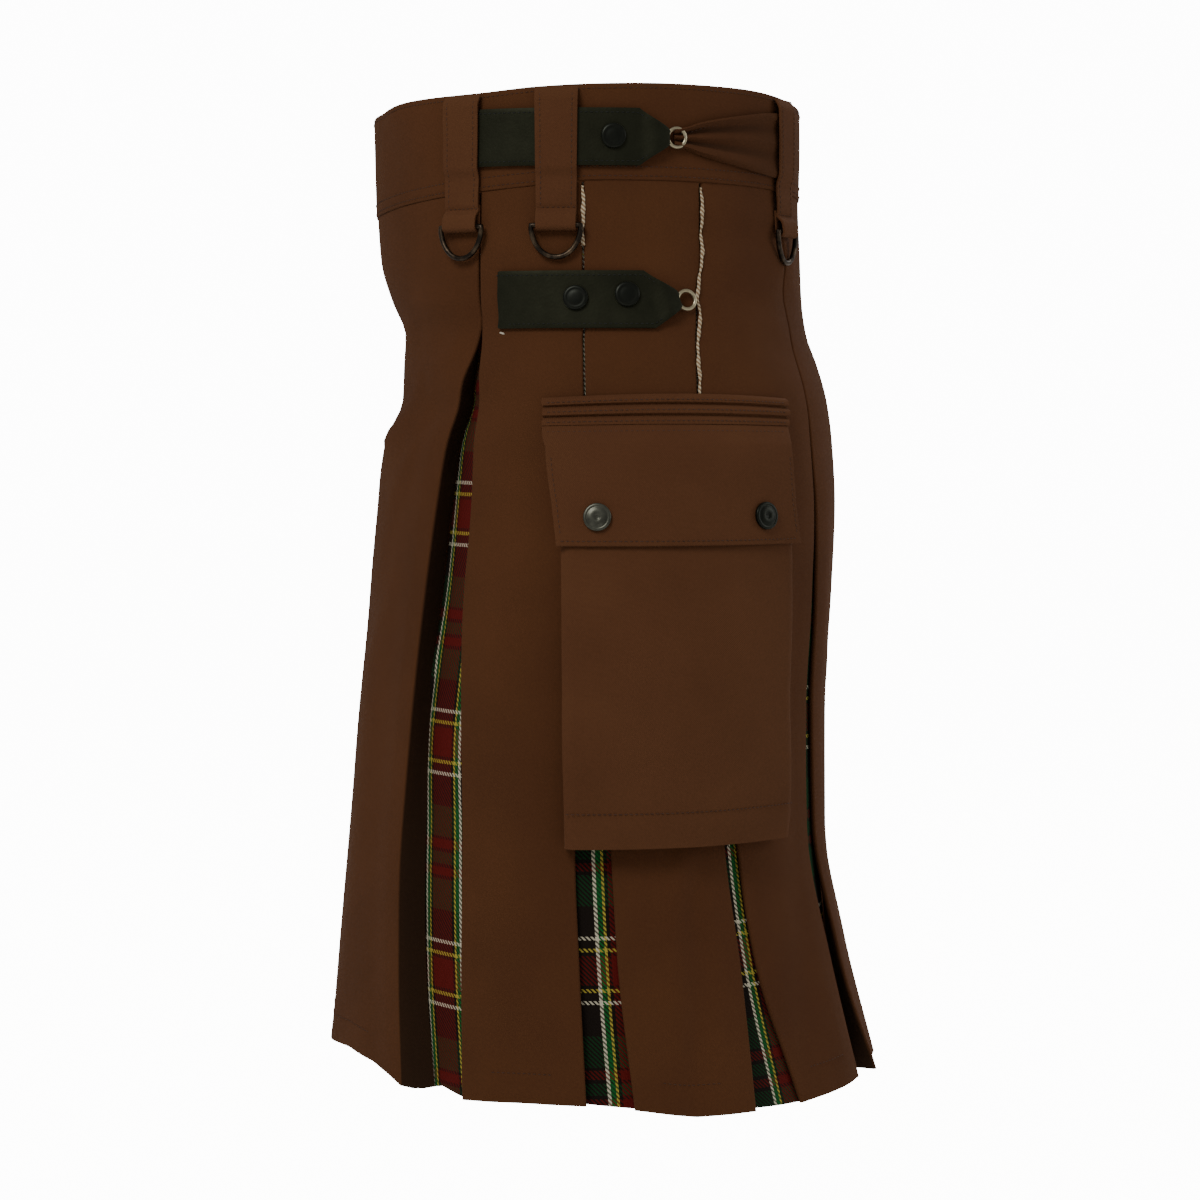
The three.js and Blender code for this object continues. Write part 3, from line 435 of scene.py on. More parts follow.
def stitch_rows(name, rows, material, thread=0.00055, pitch=3.1, length=2.3):
    """Lockstitches laid along rows of points with normals: each a small spindle half sunk in the cloth."""
    points, faces = [], []
    for path, normals in rows:
        steps = np.linalg.norm(np.diff(path, axis=0), axis=1)
        reach = np.concatenate([[0], np.cumsum(steps)]) * 1000
        read = lambda values, at: np.array([np.interp(at, reach, values[:, axis]) for axis in range(3)])
        for k in range(int(reach[-1] // pitch)):
            first, last = read(path, k * pitch + 0.4), read(path, k * pitch + (0.4 + length))
            normal = read(normals, k * pitch + length / 2)
            normal /= np.linalg.norm(normal)
            along = last - first
            beside = np.cross(along / np.linalg.norm(along), normal)
            base = len(points)
            points.append(first - normal * thread * 0.2)
            for share in (0.25, 0.75):
                centre = first + along * share
                points += [centre + beside * thread / 2, centre + normal * thread * 0.75,
                           centre - beside * thread / 2, centre - normal * thread * 0.4]
            points.append(last - normal * thread * 0.2)
            for a in range(base + 1, base + 5):
                b = base + 1 + (a - base) % 4
                faces += [(base, a, b), (a, a + 4, b + 4, b), (a + 4, base + 9, b + 4)]
    select_only(new_piece(name, points, faces, material))
    bpy.ops.object.mode_set(mode="EDIT")
    bpy.ops.mesh.select_all(action="SELECT")
    bpy.ops.mesh.normals_make_consistent(inside=False)
    bpy.ops.object.mode_set(mode="OBJECT")


# Drops of the waistband's two edges at a share of the way from centre front to centre back
BAND_EDGES = [
    (0, 11, 73), (0.13, 10, 71.8), (0.23, 6.5, 68.7), (0.35, 5.3, 64.4), (0.44, 2.3, 61), (0.51, 0.8, 58),
    (0.6, 0, 58), (0.72, 0.4, 58.8), (0.9, 4.5, 61), (1, 6, 62),
]
BAND_THICK = 0.0024
BAND_LEVEL = 0.2


def share_round(drop, arc):
    turned = np.mod(np.abs(arc), 2 * half_round(drop))
    return np.minimum(turned, 2 * half_round(drop) - turned) / half_round(drop)


def band_edges(arc):
    around = share_round(0.0, arc)
    return table_curve(BAND_EDGES, 1, around), table_curve(BAND_EDGES, 2, around)


band_round = 2 * half_round(0.0)
band_arc = np.linspace(-164.0, band_round + 100.0, 240)[None, :]
band_top, band_bottom = band_edges(band_arc)
band_drop = band_top + np.linspace(0.0, 1.0, 13)[:, None] * (band_bottom - band_top)
# The band's far end dives to run on under its near end and the apron
band_out = BAND_LEVEL - 4.2 * eased((band_arc - band_round + 178.0) / 20.0) + 0 * band_drop
band_on_form = band_arc * half_round(band_drop) / half_round(0.0)
waistband = sheet_piece("waistband_cloth", place(band_drop, band_on_form, band_out),
                        flat_uv(band_on_form, band_out, band_drop), TWILL, "twill", BAND_THICK,
                        rounding=0.0006)
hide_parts("waistband")

band_seam = np.linspace(-160.0, band_round - 182.0, 420)
seam_top, seam_bottom = band_edges(band_seam)
stitch_rows("waistband_stitching", [
    spot(row_drop, band_seam * half_round(row_drop) / half_round(0.0), BAND_LEVEL + 1.25)
    for row_drop in (seam_top + 3.0, seam_bottom - 2.5, seam_bottom - 8.0)], BROWN_THREAD)


# Front apron. One panel of brown twill, hemmed down its free right side and folded back at the left into
# the first pleat; drag creases run down from the strap to the lap. Pleat lines of all panels start here.

# Drop, then arcs of the apron's fold and of the left and right edges of each pleat panel
FOLDS = [
    (58.3, 166.1, 166.4, 230, 230.3, 303, 303.3), (100, 164.4, 164.7, 229.4, 229.7, 303, 303.3),
    (125, 158.4, 158.7, 225.1, 225.4, 294.5, 294.8), (147, 151.4, 151.7, 220.5, 220.8, 289.5, 289.8),
    (165, 147.5, 154.5, 224.2, 224.5, 292.9, 293.2), (188, 142.5, 157.5, 228, 228.5, 296.5, 297),
    (214, 149, 169, 240.5, 242, 311, 312), (253, 149.5, 176, 248, 252, 321.5, 323),
    (310, 152, 182, 257, 265, 336.5, 339.5), (380, 157.6, 194.2, 267.5, 281.5, 354.5, 360.5),
    (450, 160.8, 205.3, 276.9, 296.9, 370.7, 380), (530, 170.5, 216.5, 290.1, 312.2, 391.2, 405.3),
    (610, 185.4, 229.6, 304.4, 332, 407.4, 450.3),
]
LEVELS = [row[0] for row in FOLDS]
# Drop, gap at the back's side pleat, gap at the centre back
REAR_GAPS = [(188, 0.3, 0.3), (253, 3, 2), (380, 9, 8), (530, 18, 16), (610, 26, 20)]
# Drop, arc and depth of the valley where the apron's return ends
VALLEY = [
    (165, 141, 10.5), (188, 138, 12), (214, 143, 13), (253, 144, 13), (310, 148, 12), (380, 155, 12),
    (450, 164, 12), (530, 177.4, 12), (610, 199.3, 11),
]
APRON_LIFT = [(147, 0), (188, 1), (310, 3), (380, 4), (610, 4)]
HEM_FLARE = [(450, 0), (530, 0.35), (610, 1)]
# Share of the way round, drop of the hem
HEM_LINE = [
    (0, 590), (0.11, 588), (0.175, 585), (0.235, 587.3), (0.27, 591), (0.304, 598), (0.328, 595), (0.36, 598),
    (0.48, 598), (0.53, 601), (0.59, 607), (0.65, 606), (0.72, 608), (0.83, 604), (1, 607),
]
RETURN_LENGTH = 14.0
FOLD_RADIUS = 0.85
FOLD_REACH = FOLD_RADIUS + 0.7 * math.sqrt(2)
LAYER = 1.7
LIFT_REACH = 40.0
FOLD_POINTS = 7
HUNG_ROWS = 90


def cloth_drop(level, arc, shorter=0.0):
    """Drop of a level at an arc: the first level follows the waistband and the last the hem."""
    around = share_round(level, arc)
    if level < 100:
        top = straight(BAND_EDGES, 2, around) + 0.3
        return 100 - (100 - top) * (100 - level) / (100 - CLOTH_TOP)
    if level <= 450:
        return level + 0 * arc
    hem = straight(HEM_LINE, 1, around) - shorter
    return 450 + (level - 450) / (LENGTH - 450) * (hem - 450)


def edges_at(level):
    """Edges of every panel at a level: arc, lift, length and turn of the return."""
    apron_arc, left1, right1, left2, right2, left3 = FOLDS[LEVELS.index(level)][1:]
    half = float(half_round(level))
    side, centre = straight(REAR_GAPS, 1, level), straight(REAR_GAPS, 2, level) / 2
    flare = straight(HEM_FLARE, 1, level)
    lift = straight(APRON_LIFT, 1, level)
    rear_width = (half - left3 - side - centre) / 2
    flat = lambda arc, rise: (arc, rise * flare, RETURN_LENGTH, math.pi)
    apron = free = (apron_arc, lift, RETURN_LENGTH, math.pi)
    if level > 147:
        over = straight(VALLEY, 1, level) - apron_arc
        down = straight(VALLEY, 2, level) + lift
        apron = (apron_arc, lift, math.hypot(over, down) - FOLD_RADIUS, math.atan2(down, over))
    rear = (left3 + rear_width + side, 7 * flare, RETURN_LENGTH + 9 * flare, math.pi * (1 - 0.42 * flare))
    return {"apron": apron, "free": free, "left1": flat(left1, 3), "right1": flat(right1, 4),
            "left2": flat(left2, 2), "right2": flat(right2, 5), "left3": flat(left3, 0),
            "right3": flat(left3 + rear_width, 3), "left4": rear, "right4": flat(half - centre, 4)}


def fold_shade(arc):
    """Share of painted shade at each point: none on the face, most from the fold to the end of the return."""
    shade_steps = np.concatenate([np.zeros(3), np.linspace(0.3, 0.8, FOLD_POINTS - 3), [0.84, 0.84, 0.84]])
    share = np.zeros(arc.shape)
    share[:, -len(shade_steps):] = shade_steps
    share[:, :len(shade_steps)] = shade_steps[::-1]
    return share


def lift_share(distance):
    return 1 - eased(distance / LIFT_REACH)


def foot_arc(edge, side):
    return edge[0] - side * (FOLD_REACH + RETURN_LENGTH)


def edge_line(edge, side):
    """Arcs and outs round a fold and along its return, from the panel outwards."""
    arc, lift, length, turn = edge
    centre = arc - side * FOLD_REACH
    share = np.linspace(0, 1, FOLD_POINTS)
    arcs = centre + side * FOLD_RADIUS * np.sin(share * turn)
    outs = lift - FOLD_RADIUS * (1 - np.cos(share * turn))
    if turn == math.pi:
        end = (foot_arc(edge, side), lift * lift_share(FOLD_REACH + RETURN_LENGTH) - LAYER)
    else:
        end = (arcs[-1] + side * length * math.cos(turn), outs[-1] - length * math.sin(turn))
    for part in (0.34, 0.67, 1.0):
        arcs = np.append(arcs, arcs[FOLD_POINTS - 1] + part * (end[0] - arcs[FOLD_POINTS - 1]))
        outs = np.append(outs, outs[FOLD_POINTS - 1] + part * (end[1] - outs[FOLD_POINTS - 1]))
    return arcs, outs


def hung_points(lines, shorter=0.0):
    """Fine grid down the cloth from a line of arcs and outs at every level: points, arcs, outs and drops."""
    arcs = np.array([line[0] for line in lines])
    outs = np.array([line[1] for line in lines])
    drops = np.array([cloth_drop(level, line_arcs, shorter) for level, line_arcs in zip(LEVELS, arcs)])
    fine = np.linspace(LEVELS[0], LEVELS[-1], HUNG_ROWS)
    smooth_down = lambda values: np.stack(
        [table_curve(list(zip(LEVELS, values[:, column])), 1, fine) for column in range(values.shape[1])], -1)
    arc, out, drop = smooth_down(arcs), smooth_down(outs), smooth_down(drops)
    return place(drop, arc, out), arc, out, drop


def apron_line(level):
    edges = edges_at(level)
    apron, free = edges["apron"], edges["free"]
    reach = apron[0] - LIFT_REACH
    far_arcs, far_outs = edge_line(apron, 1)
    near_arcs, near_outs = edge_line(free, 1)
    middle = np.linspace(-reach, reach, 44)
    lifted = np.linspace(0, 1, 9)[1:]
    rise_arcs = reach + lifted * (foot_arc(apron, 1) - reach)
    rise_outs = apron[1] * lift_share(apron[0] - rise_arcs)
    arcs = np.concatenate([-near_arcs[::-1], -rise_arcs[::-1], middle, rise_arcs, far_arcs])
    outs = np.concatenate([near_outs[::-1], rise_outs[::-1], 0 * middle, rise_outs, far_outs])
    return arcs, outs


points, arc, out, drop = hung_points([apron_line(level) for level in LEVELS])
# Painted shade darkens the apron round its fold and along its return
front_apron = sheet_piece("front_apron_cloth", points, flat_uv(arc, out, drop), TWILL, "twill", TWILL_THICK,
                          unfaded=fold_shade(arc))
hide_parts("front_apron")


def stitched_row(points, row, first, last):
    """A line for stitches along one row of a sheet's grid, on its outer face."""
    across = points[row, first + 1:last + 1] - points[row, first - 1:last - 1]
    down = points[row + 1, first:last] - points[row - 1, first:last]
    normals = np.cross(down, across)
    normals /= np.linalg.norm(normals, axis=1)[:, None]
    return points[row, first:last] + normals * TWILL_THICK / 2, normals


# The hem is turned up twice and stitched a thumb's width above the edge
HEM_ROW = HUNG_ROWS - 4
hem_stitches = [stitched_row(points, HEM_ROW, 18, points.shape[1] - 18)]


# Under-apron. The plain inner panel that joins the first pleat on the right and lies behind the front apron;
# only its lower edge and its inside show.

UNDER_APRON_OUT = -5.6


def under_line(level):
    free = edges_at(level)["free"]
    start = LIFT_REACH - free[0]
    arcs = np.concatenate([[-free[0]], np.linspace(-foot_arc(free, 1), start, 5),
                           np.linspace(start, 120, 40)[1:]])
    return arcs, np.full(len(arcs), UNDER_APRON_OUT)


points, arc, out, drop = hung_points([under_line(level) for level in LEVELS], shorter=10.0)
under_apron = sheet_piece("under_apron_cloth", points, flat_uv(arc, out, drop), TWILL, "twill", TWILL_THICK)
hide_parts("under_apron")


# Box pleat panels. Four a side, each one strip of twill with both long edges pressed under as returns;
# they lie edge to edge over the hips and open below over the checked inserts.

def panel_line(near, far):
    """Arcs and outs of a panel, lifted towards its folds, with both returns."""
    near_arcs, near_outs = edge_line(near, -1)
    far_arcs, far_outs = edge_line(far, 1)
    across = np.linspace(foot_arc(near, -1), foot_arc(far, 1), 16)
    rise = near[1] * lift_share(across - near[0]) + far[1] * lift_share(far[0] - across)
    return (np.concatenate([near_arcs[::-1], across, far_arcs]),
            np.concatenate([near_outs[::-1], rise, far_outs]))


# Flat area of each panel's cut in square metres
PANEL_AREAS = {1: 0.056, 2: 0.058, 3: 0.067, 4: 0.067}
for number, area in PANEL_AREAS.items():
    points, arc, out, drop = hung_points([
        panel_line(edges_at(level)[f"left{number}"], edges_at(level)[f"right{number}"])
        for level in LEVELS])
    # Painted shade darkens each panel round its folds and along its returns, as on the apron
    for panel in sheet_pair(f"pleat_panel_{number}", points, flat_uv(arc, out, drop), TWILL, "twill",
                            TWILL_THICK, unfaded=fold_shade(arc)):
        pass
    hem_stitches += both_sides(*stitched_row(points, HEM_ROW, 11, points.shape[1] - 11))
stitch_rows("hem_stitching", hem_stitches, BROWN_THREAD)


# Checked inserts. Woven check let into the pleats from panel to panel: dark green, black and deep red blocks
# crossed by paired white and yellow lines, which stand closer with bright green between them upright.

# Stripe starts in millimetres through one repeat
SETT_REPEAT = 136.0
WHITE, YELLOW = srgb(205, 196, 170), srgb(176, 158, 60)
BLACK, RED, GREEN, BRIGHT_GREEN = srgb(20, 13, 8), srgb(88, 13, 9), srgb(10, 52, 24), srgb(18, 92, 38)
REST_OF_SETT = [(39.0, BLACK), (57, GREEN), (75, BLACK), (77, RED), (82, BLACK), (84, GREEN), (91, BLACK),
                (93, RED), (98, BLACK), (100, GREEN), (118, BLACK)]
LEVEL_SETT = [(0, WHITE), (2.0, BLACK), (6.9, YELLOW), (8.9, BLACK), (10.9, RED), (28.1, BLACK),
              (30.1, YELLOW), (32.1, BLACK), (37.0, WHITE)] + REST_OF_SETT
UPRIGHT_SETT = [(0, WHITE), (1.9, BRIGHT_GREEN), (4.9, YELLOW), (6.6, BLACK), (8.6, RED), (30.1, BLACK),
                (32.1, YELLOW), (33.8, BRIGHT_GREEN), (37.0, WHITE)] + REST_OF_SETT
LEVEL_SHOWS = 0.84


def stripe_set(tree, stripes, coordinate, shift):
    """Colours of the check's stripes across one direction of the cloth, shifted by millimetres."""
    turns = tree.math("DIVIDE", tree.math("SUBTRACT", coordinate, shift / 1000), SETT_REPEAT / 1000)
    colours = tree.add("ShaderNodeValToRGB", {"Fac": tree.math("FRACT", turns)})["Color"]
    ramp = colours.node.color_ramp
    ramp.interpolation = "CONSTANT"
    for k, (start, colour) in enumerate(stripes):
        element = ramp.elements[k] if k < 2 else ramp.elements.new(start / SETT_REPEAT)
        element.position, element.color = start / SETT_REPEAT, colour
    return colours


def checked_cloth(name, shift_across, shift_down):
    """Check woven as a coarse twill: each point shows its upright or its level yarn."""
    material, tree, surface = new_material(name)
    split, weave = tree.add("ShaderNodeSeparateXYZ", {0: tree.cloth()}), tree.weave(0.0029)
    upright = stripe_set(tree, UPRIGHT_SETT, split["X"], shift_across)
    level = stripe_set(tree, LEVEL_SETT, tree.math("MULTIPLY", split["Y"], -1.0), shift_down)
    woven = tree.mix(tree.math("MULTIPLY", weave["Over"], LEVEL_SHOWS), upright, level)
    worn = tree.math("MULTIPLY", tree.nap()["Fleck"], 0.12)
    tree.feed(surface, {"Base Color": tree.mix(worn, woven, srgb(40, 30, 20)), "Roughness": 0.9,
                        "Specular IOR Level": 0.15, "Normal": tree.bump(weave["Height"], 0.5, 0.0002)})
    return material


# A return that turns by more than this lies back under its own panel
UNDER_TURN = math.pi * 0.56
INSERT_COLUMNS = 25


def seam_knot(edge, side):
    arcs, outs = edge_line(edge, side)
    turn = edge[3]
    if turn == math.pi:
        return arcs[-1], -2 * LAYER
    if turn > UNDER_TURN:
        return arcs[-1], outs[-1] - LAYER - 0.7
    return arcs[-1] - side * 4.0 * math.cos(turn), outs[-1] + 4.0 * math.sin(turn)


def insert_line(far, near):
    """Arcs and outs of an insert from the return of one panel to that of the next."""
    start, end = seam_knot(far, 1), seam_knot(near, -1)
    first, last = (far[0] - 1, -2 * LAYER), (near[0] + 1, -2 * LAYER)
    blend = lambda a, b, share: (a[0] + share * (b[0] - a[0]), a[1] + share * (b[1] - a[1]))
    if far[3] != math.pi:
        first = blend(start, last, 0.4)
    if near[3] != math.pi:
        last = blend(end, first, 0.4)
    corners = [start, first, blend(first, last, 0.5), last, end]
    if far[3] < UNDER_TURN:
        cos, sin = math.cos(far[3]), math.sin(far[3])
        corners[0] = (start[0] - 1.5 * sin, start[1] - 1.5 * cos)
        corners[1] = (corners[0][0] + 5.0 * cos, corners[0][1] - 5.0 * sin)
        corners[2] = blend(corners[1], last, 0.5)
    share = np.linspace(0, 4, INSERT_COLUMNS)
    return [np.interp(share, range(5), values) for values in zip(*corners)]


# The two panel edges an insert runs between, and how far its check is shifted across and down
INSERTS = {1: ("apron", "left1", -19.6, 509.0), 2: ("right1", "left2", -1.0, 502.0),
           3: ("right2", "left3", -1.0, 497.0), 4: ("right3", "left4", 22.0, 500.0)}
CHECKED = {number: checked_cloth(f"checked cloth {number}", across, down)
           for number, (_, _, across, down) in INSERTS.items()}

# A slip of the check's pale stripe peeps out between the panels over the hips.
# Number of the insert, and first and last drop of its slip
SLIPS = {2: (61.5, 97.0), 3: (61.5, 186.5)}
SLIP_HALF = 1.15


def pale_yarn():
    """The check's pale stripe seen on edge: thick light yarn over brown."""
    material, tree, surface = new_material("pale yarn")
    weave = tree.weave(0.0026)
    light = tree.mix(tree.nap()["Fleck"], srgb(172, 150, 116), srgb(222, 208, 178))
    tree.feed(surface, {"Base Color": tree.mix(weave["Over"], light, srgb(142, 112, 80)), "Roughness": 0.85,
                        "Normal": tree.bump(weave["Height"], 0.6, 0.0003)})
    return material


PALE_YARN = pale_yarn()

for number, (first, last) in SLIPS.items():
    across = np.linspace(-1, 1, 7)[None, :]
    drop = np.linspace(first, last, int((last - first) / 1.2))[:, None] + 0 * across
    middle = straight(FOLDS, 2 * number, drop) + 0.35 * np.sin(drop / 5.3) + 0.2 * np.sin(drop / 2.1)
    swelling = 0.72 + 0.2 * np.sin(drop / 3.7) + 0.16 * np.sin(drop / 1.3)
    arc = middle + across * SLIP_HALF * swelling
    points = place(drop, arc, 0.95 + 0.75 * np.sqrt(1 - (0.93 * across) ** 2) * swelling)
    for side in SIDES:
        sheet_piece(
            f"insert_{number}_slip_{side}_cloth", on_side(points, side),
            np.stack([arc - middle - 0.15, -drop], -1) / 1000, PALE_YARN, "checked_cloth", 0.0006,
            flip=side == "right")

for number, (far, near, _, _) in INSERTS.items():
    for side in SIDES:
        start = "free" if side == "right" and number == 1 else far
        points, arc, out, drop = hung_points([
            insert_line(edges_at(level)[start], edges_at(level)[near]) for level in LEVELS])
        insert = sheet_piece(f"insert_{number}_{side}_cloth", on_side(points, side), flat_uv(arc, out, drop),
                             CHECKED[number], "checked_cloth", TWILL_THICK, flip=side == "right")
        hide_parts(f"insert_{number}_{side}")


def back_line(level):
    half = float(half_round(level))
    edge = edges_at(level)["right4"]
    knot = seam_knot(edge, 1)
    arcs = np.interp(np.linspace(0, 4, INSERT_COLUMNS), range(5),
                     [knot[0], edge[0] - 1, half, 2 * half - edge[0] + 1, 2 * half - knot[0]])
    return arcs, np.full(INSERT_COLUMNS, -2 * LAYER)


points, arc, out, drop = hung_points([back_line(level) for level in LEVELS])
insert_back = sheet_piece("insert_back_cloth", points, flat_uv(arc, out, drop), CHECKED[2], "checked_cloth",
                          TWILL_THICK)
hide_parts("insert_back")


# Belt loops. A folded strip of twill, caught at the band's top edge and run down past it, where its end is
# rolled round the bar of a ring and sewn to itself.

LOOPS = {"front": 155.6, "side": 214.6, "rear": 381.4}
# Drop and distance out down the strip; the first two rows start from the band's own top edge
LOOP_PROFILE = [(1, 2.5), (8, 5.4), (49, 5.4), (57, 3.2), (66, 3.6), (72.5, 3.5), (75, 2.7), (76.6, 3.9),
                (79, 6.0), (82, 6.7)]
LOOP_FOOT, LOOP_TACK, LOOP_TAIL_END = 58.0, 74.6, 72.0
# Half width in millimetres, and the height of a thread's middle over that of the cloth in metres
LOOP_HALF, LOOP_FACE = 13.0, 0.00068
BAR_DROP, BAR_OUT = 85.0, 4.3
RING_WIRE = 3.2
ROLL_RADIUS = RING_WIRE / 2 + 0.3 + 0.7


def loop_frame(arc):
    """Upright frame of a loop: its foot, its normal and the way along the band, in millimetres."""
    foot, normal = spot(LOOP_FOOT, arc, 0.0, creased=False)
    return foot * 1000, normal, np.array([normal[1], -normal[0], 0.0])


def loop_point(arc, drop, out, sideways):
    foot, normal, along = loop_frame(arc)
    share = arc / half_round(LOOP_FOOT)
    base = spot(drop, share * half_round(drop), 0.0, creased=False)[0] * 1000
    stand = (base - foot) @ normal + out
    point = foot + normal * stand + along * sideways
    point[2] = TOP_Z - drop
    return point / 1000


def loop_profile(arc):
    top = float(straight(BAND_EDGES, 1, share_round(0.0, np.array(arc))))
    knots = [(drop + top if k < 2 else drop, out) for k, (drop, out) in enumerate(LOOP_PROFILE)]
    for degrees in range(0, 181, 15):
        turned = math.radians(degrees)
        knots.append((BAR_DROP + ROLL_RADIUS * math.sin(turned), BAR_OUT + ROLL_RADIUS * math.cos(turned)))
    knots.append((LOOP_TAIL_END, BAR_OUT - ROLL_RADIUS))
    reach = np.concatenate([[0], np.cumsum([math.dist(a, b) for a, b in zip(knots, knots[1:])])])
    fine = np.linspace(0, reach[-1], 90)
    drops = table_curve(list(zip(reach, [k[0] for k in knots])), 1, fine)
    outs = table_curve(list(zip(reach, [k[1] for k in knots])), 1, fine)
    return fine, drops, outs


loop_stitches = []
for name, arc_at in LOOPS.items():
    reach, drops, outs = loop_profile(arc_at)
    across = np.linspace(-1, 1, 9)
    # The strip is crowned across, but its roll is straight so that the ring's bar turns freely in it
    crown = 0.25 * np.minimum.accumulate(np.clip((79 - drops) / 9, 0, 1))
    half = LOOP_HALF - np.minimum(drops / BAR_DROP, 1)
    crowned = outs[:, None] + crown[:, None] * np.cos(across * math.pi / 2)
    points = np.array([[loop_point(arc_at, drops[row], crowned[row, column], across[column] * half[row])
                        for column in range(len(across))] for row in range(len(drops))])
    uv = np.stack(np.meshgrid(across * 0.0125, -reach / 1000), -1)
    for loop in sheet_pair(f"belt_loop_{name}", points, uv, LIT_TWILL, "twill", TWILL_THICK,
                           rounding=0.0003):
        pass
    facing = np.tile(loop_frame(arc_at)[1], (60, 1))
    for column in (1, 7):
        loop_stitches += both_sides(points[3:63, column] + facing * LOOP_FACE, facing)
    tack = int(np.argmin(np.abs(drops[:70] - LOOP_TACK)))
    loop_stitches += both_sides(points[tack] + facing[:9] * LOOP_FACE, facing[:9])
stitch_rows("belt_loop_stitching", loop_stitches, BROWN_THREAD)


# D-rings. Bent steel wire with a dark bronze finish, the straight side held in the loop's roll and the bow
# hanging below it, free to swing.

def metal(name, dark, pale, scale, detail, rough, metallic, patch=(0.0, 1.0)):
    """Metal that is rubbed paler and smoother in patches."""
    material, tree, surface = new_material(name)
    rubbed = tree.noise(tree.where(), scale, detail)
    tree.feed(surface, {"Base Color": tree.mix(tree.ranged(rubbed, patch), dark, pale),
                        "Roughness": tree.ranged(rubbed, after=rough), "Metallic": metallic})
    return material


def taken_mesh(model):
    """The mesh of a piece modelled with operators, which is then taken out of the scene."""
    mesh = model.data.copy()
    bpy.data.objects.remove(model)
    return mesh


DARK_BRONZE = metal("dark bronze", srgb(40, 33, 26), srgb(92, 76, 58), 160.0, 4.0, (0.48, 0.3), 0.85,
                    patch=(0.45, 0.7))
D_RING_WIDTH, D_RING_HEIGHT = 33.0, 22.0

# The bow is a bezier curve with a round bevel: two sharp corners on the bar and a flat-topped curve below
bpy.ops.curve.primitive_bezier_circle_add(radius=0.01)
ring_curve = bpy.context.object
half_bar, bow = (D_RING_WIDTH - RING_WIRE) / 2000, (D_RING_HEIGHT - RING_WIRE) / 1000
# Each point and its two handles as shares of the half bar and of the bow
RING_SHAPE = [
    ((-1, 0), (-1, -0.36), (-0.5, 0)), ((1, 0), (0.5, 0), (1, -0.36)),
    ((0.5, -0.87), (0.81, -0.69), (0.19, -1.045)), ((-0.5, -0.87), (-0.19, -1.045), (-0.81, -0.69)),
]
for point, shape in zip(ring_curve.data.splines[0].bezier_points, RING_SHAPE):
    point.handle_left_type = point.handle_right_type = "FREE"
    point.co, point.handle_left, point.handle_right = [(x * half_bar, 0, z * bow) for x, z in shape]
ring_curve.data.dimensions = "3D"
ring_curve.data.resolution_u = 14
ring_curve.data.bevel_depth = RING_WIRE / 2000
ring_curve.data.bevel_resolution = 5
bpy.ops.object.convert(target="MESH")
ring_mesh = taken_mesh(bpy.context.object)


def placed_pair(name, stuff, mesh, point, normal, material, lean=0.0, bodies=("garment", "garment")):
    """A piece modelled with its face towards +Y, put at a place and at its mirror, facing outwards."""
    for side, body in zip(SIDES, bodies):
        at, facing = on_side(point, side), on_side(normal, side)
        turn = Matrix.Rotation(math.atan2(-facing[0], facing[1]), 4, "Z")
        copy = mesh.copy()
        copy.transform(Matrix.Translation(Vector(at)) @ turn @ Matrix.Rotation(lean, 4, "X"))
        copy.materials.clear()
        copy.materials.append(material)
        piece = bpy.data.objects.new(f"{name}_{side}_{stuff}", copy)
        bpy.context.collection.objects.link(piece)
        select_only(piece)
        bpy.ops.object.shade_smooth_by_angle(angle=math.radians(40))
        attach(piece, body)
        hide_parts(f"{name}_{side}")


for name, arc_at in LOOPS.items():
    placed_pair(f"d_ring_{name}", "wire", ring_mesh, loop_point(arc_at, BAR_DROP, BAR_OUT, 0.0),
                loop_frame(arc_at)[1], DARK_BRONZE,
                bodies=[f"ring_{name}_{side}" for side in SIDES])


# Leather straps. Black leather with a green cast, pebbled, cut to a blunt point at the rear and stitched
# round the edge; the upper one lies on the waistband under two loops, the lower one on the first pleats.

def dark_leather():
    """Pebbled leather, rubbed paler on its high grain."""
    material, tree, surface = new_material("black green leather")
    grain = tree.add("ShaderNodeTexVoronoi", {"Vector": tree.where(), "Scale": 620.0})["Distance"]
    wrinkle = tree.noise(tree.where(), 95.0, 6.0)
    height = tree.math("ADD", tree.math("MULTIPLY", grain, 0.5), tree.math("MULTIPLY", wrinkle, 1.2))
    tree.feed(surface, {
        "Base Color": tree.mix(tree.ranged(wrinkle, (0.3, 0.8)), srgb(18, 19, 13), srgb(28, 29, 21)),
        "Roughness": tree.ranged(wrinkle, after=(0.66, 0.48)), "Normal": tree.bump(height, 0.35, 0.0004),
        "Specular IOR Level": 0.34, "Specular Tint": srgb(190, 190, 150),
    })
    return material


DARK_LEATHER = dark_leather()
LEATHER_THICK = 2.5
STRAP_HALF = 17.0
# The waist narrows under the straps, so a square-cut end leans by this much on the worn form
STRAP_SLANT = 0.28
STRAP_TIP, TIP_LENGTH, TIP_HALF = 280.0, 17.0, 4.5
SMALL_RING_RADIUS, SMALL_RING_WIRE, RING_BEYOND = 5.6, 2.3, 5.2
# How far over the face of the cloth a small ring and a snap cap are seated
RING_SEAT, CAP_SEAT = 1.5, 3.15
# Middle drop, first arc, and the distance out of what the strap lies on
STRAPS = {"upper": (32.5, 153.0, 1.5), "lower": (129.0, 172.0, 0.7)}


def strap_line(start, face, arcs):
    """Distance out and half height of a strap along its arcs."""
    flat, raised = face + 1.6, face + RING_SEAT + SMALL_RING_WIRE + 0.6
    rise = eased((arcs - (STRAP_TIP - TIP_LENGTH)) / 11.0)
    half = np.interp(arcs, [STRAP_TIP - TIP_LENGTH, STRAP_TIP], [STRAP_HALF, TIP_HALF])
    blunt = np.clip((arcs - STRAP_TIP + 2.0) / 2.0, 0, 1)
    begin = np.clip((start + 1.2 - arcs) / 1.2, 0, 1)
    return flat + rise * (raised - flat), half - 1.4 * blunt ** 2 - 0.9 * begin ** 2


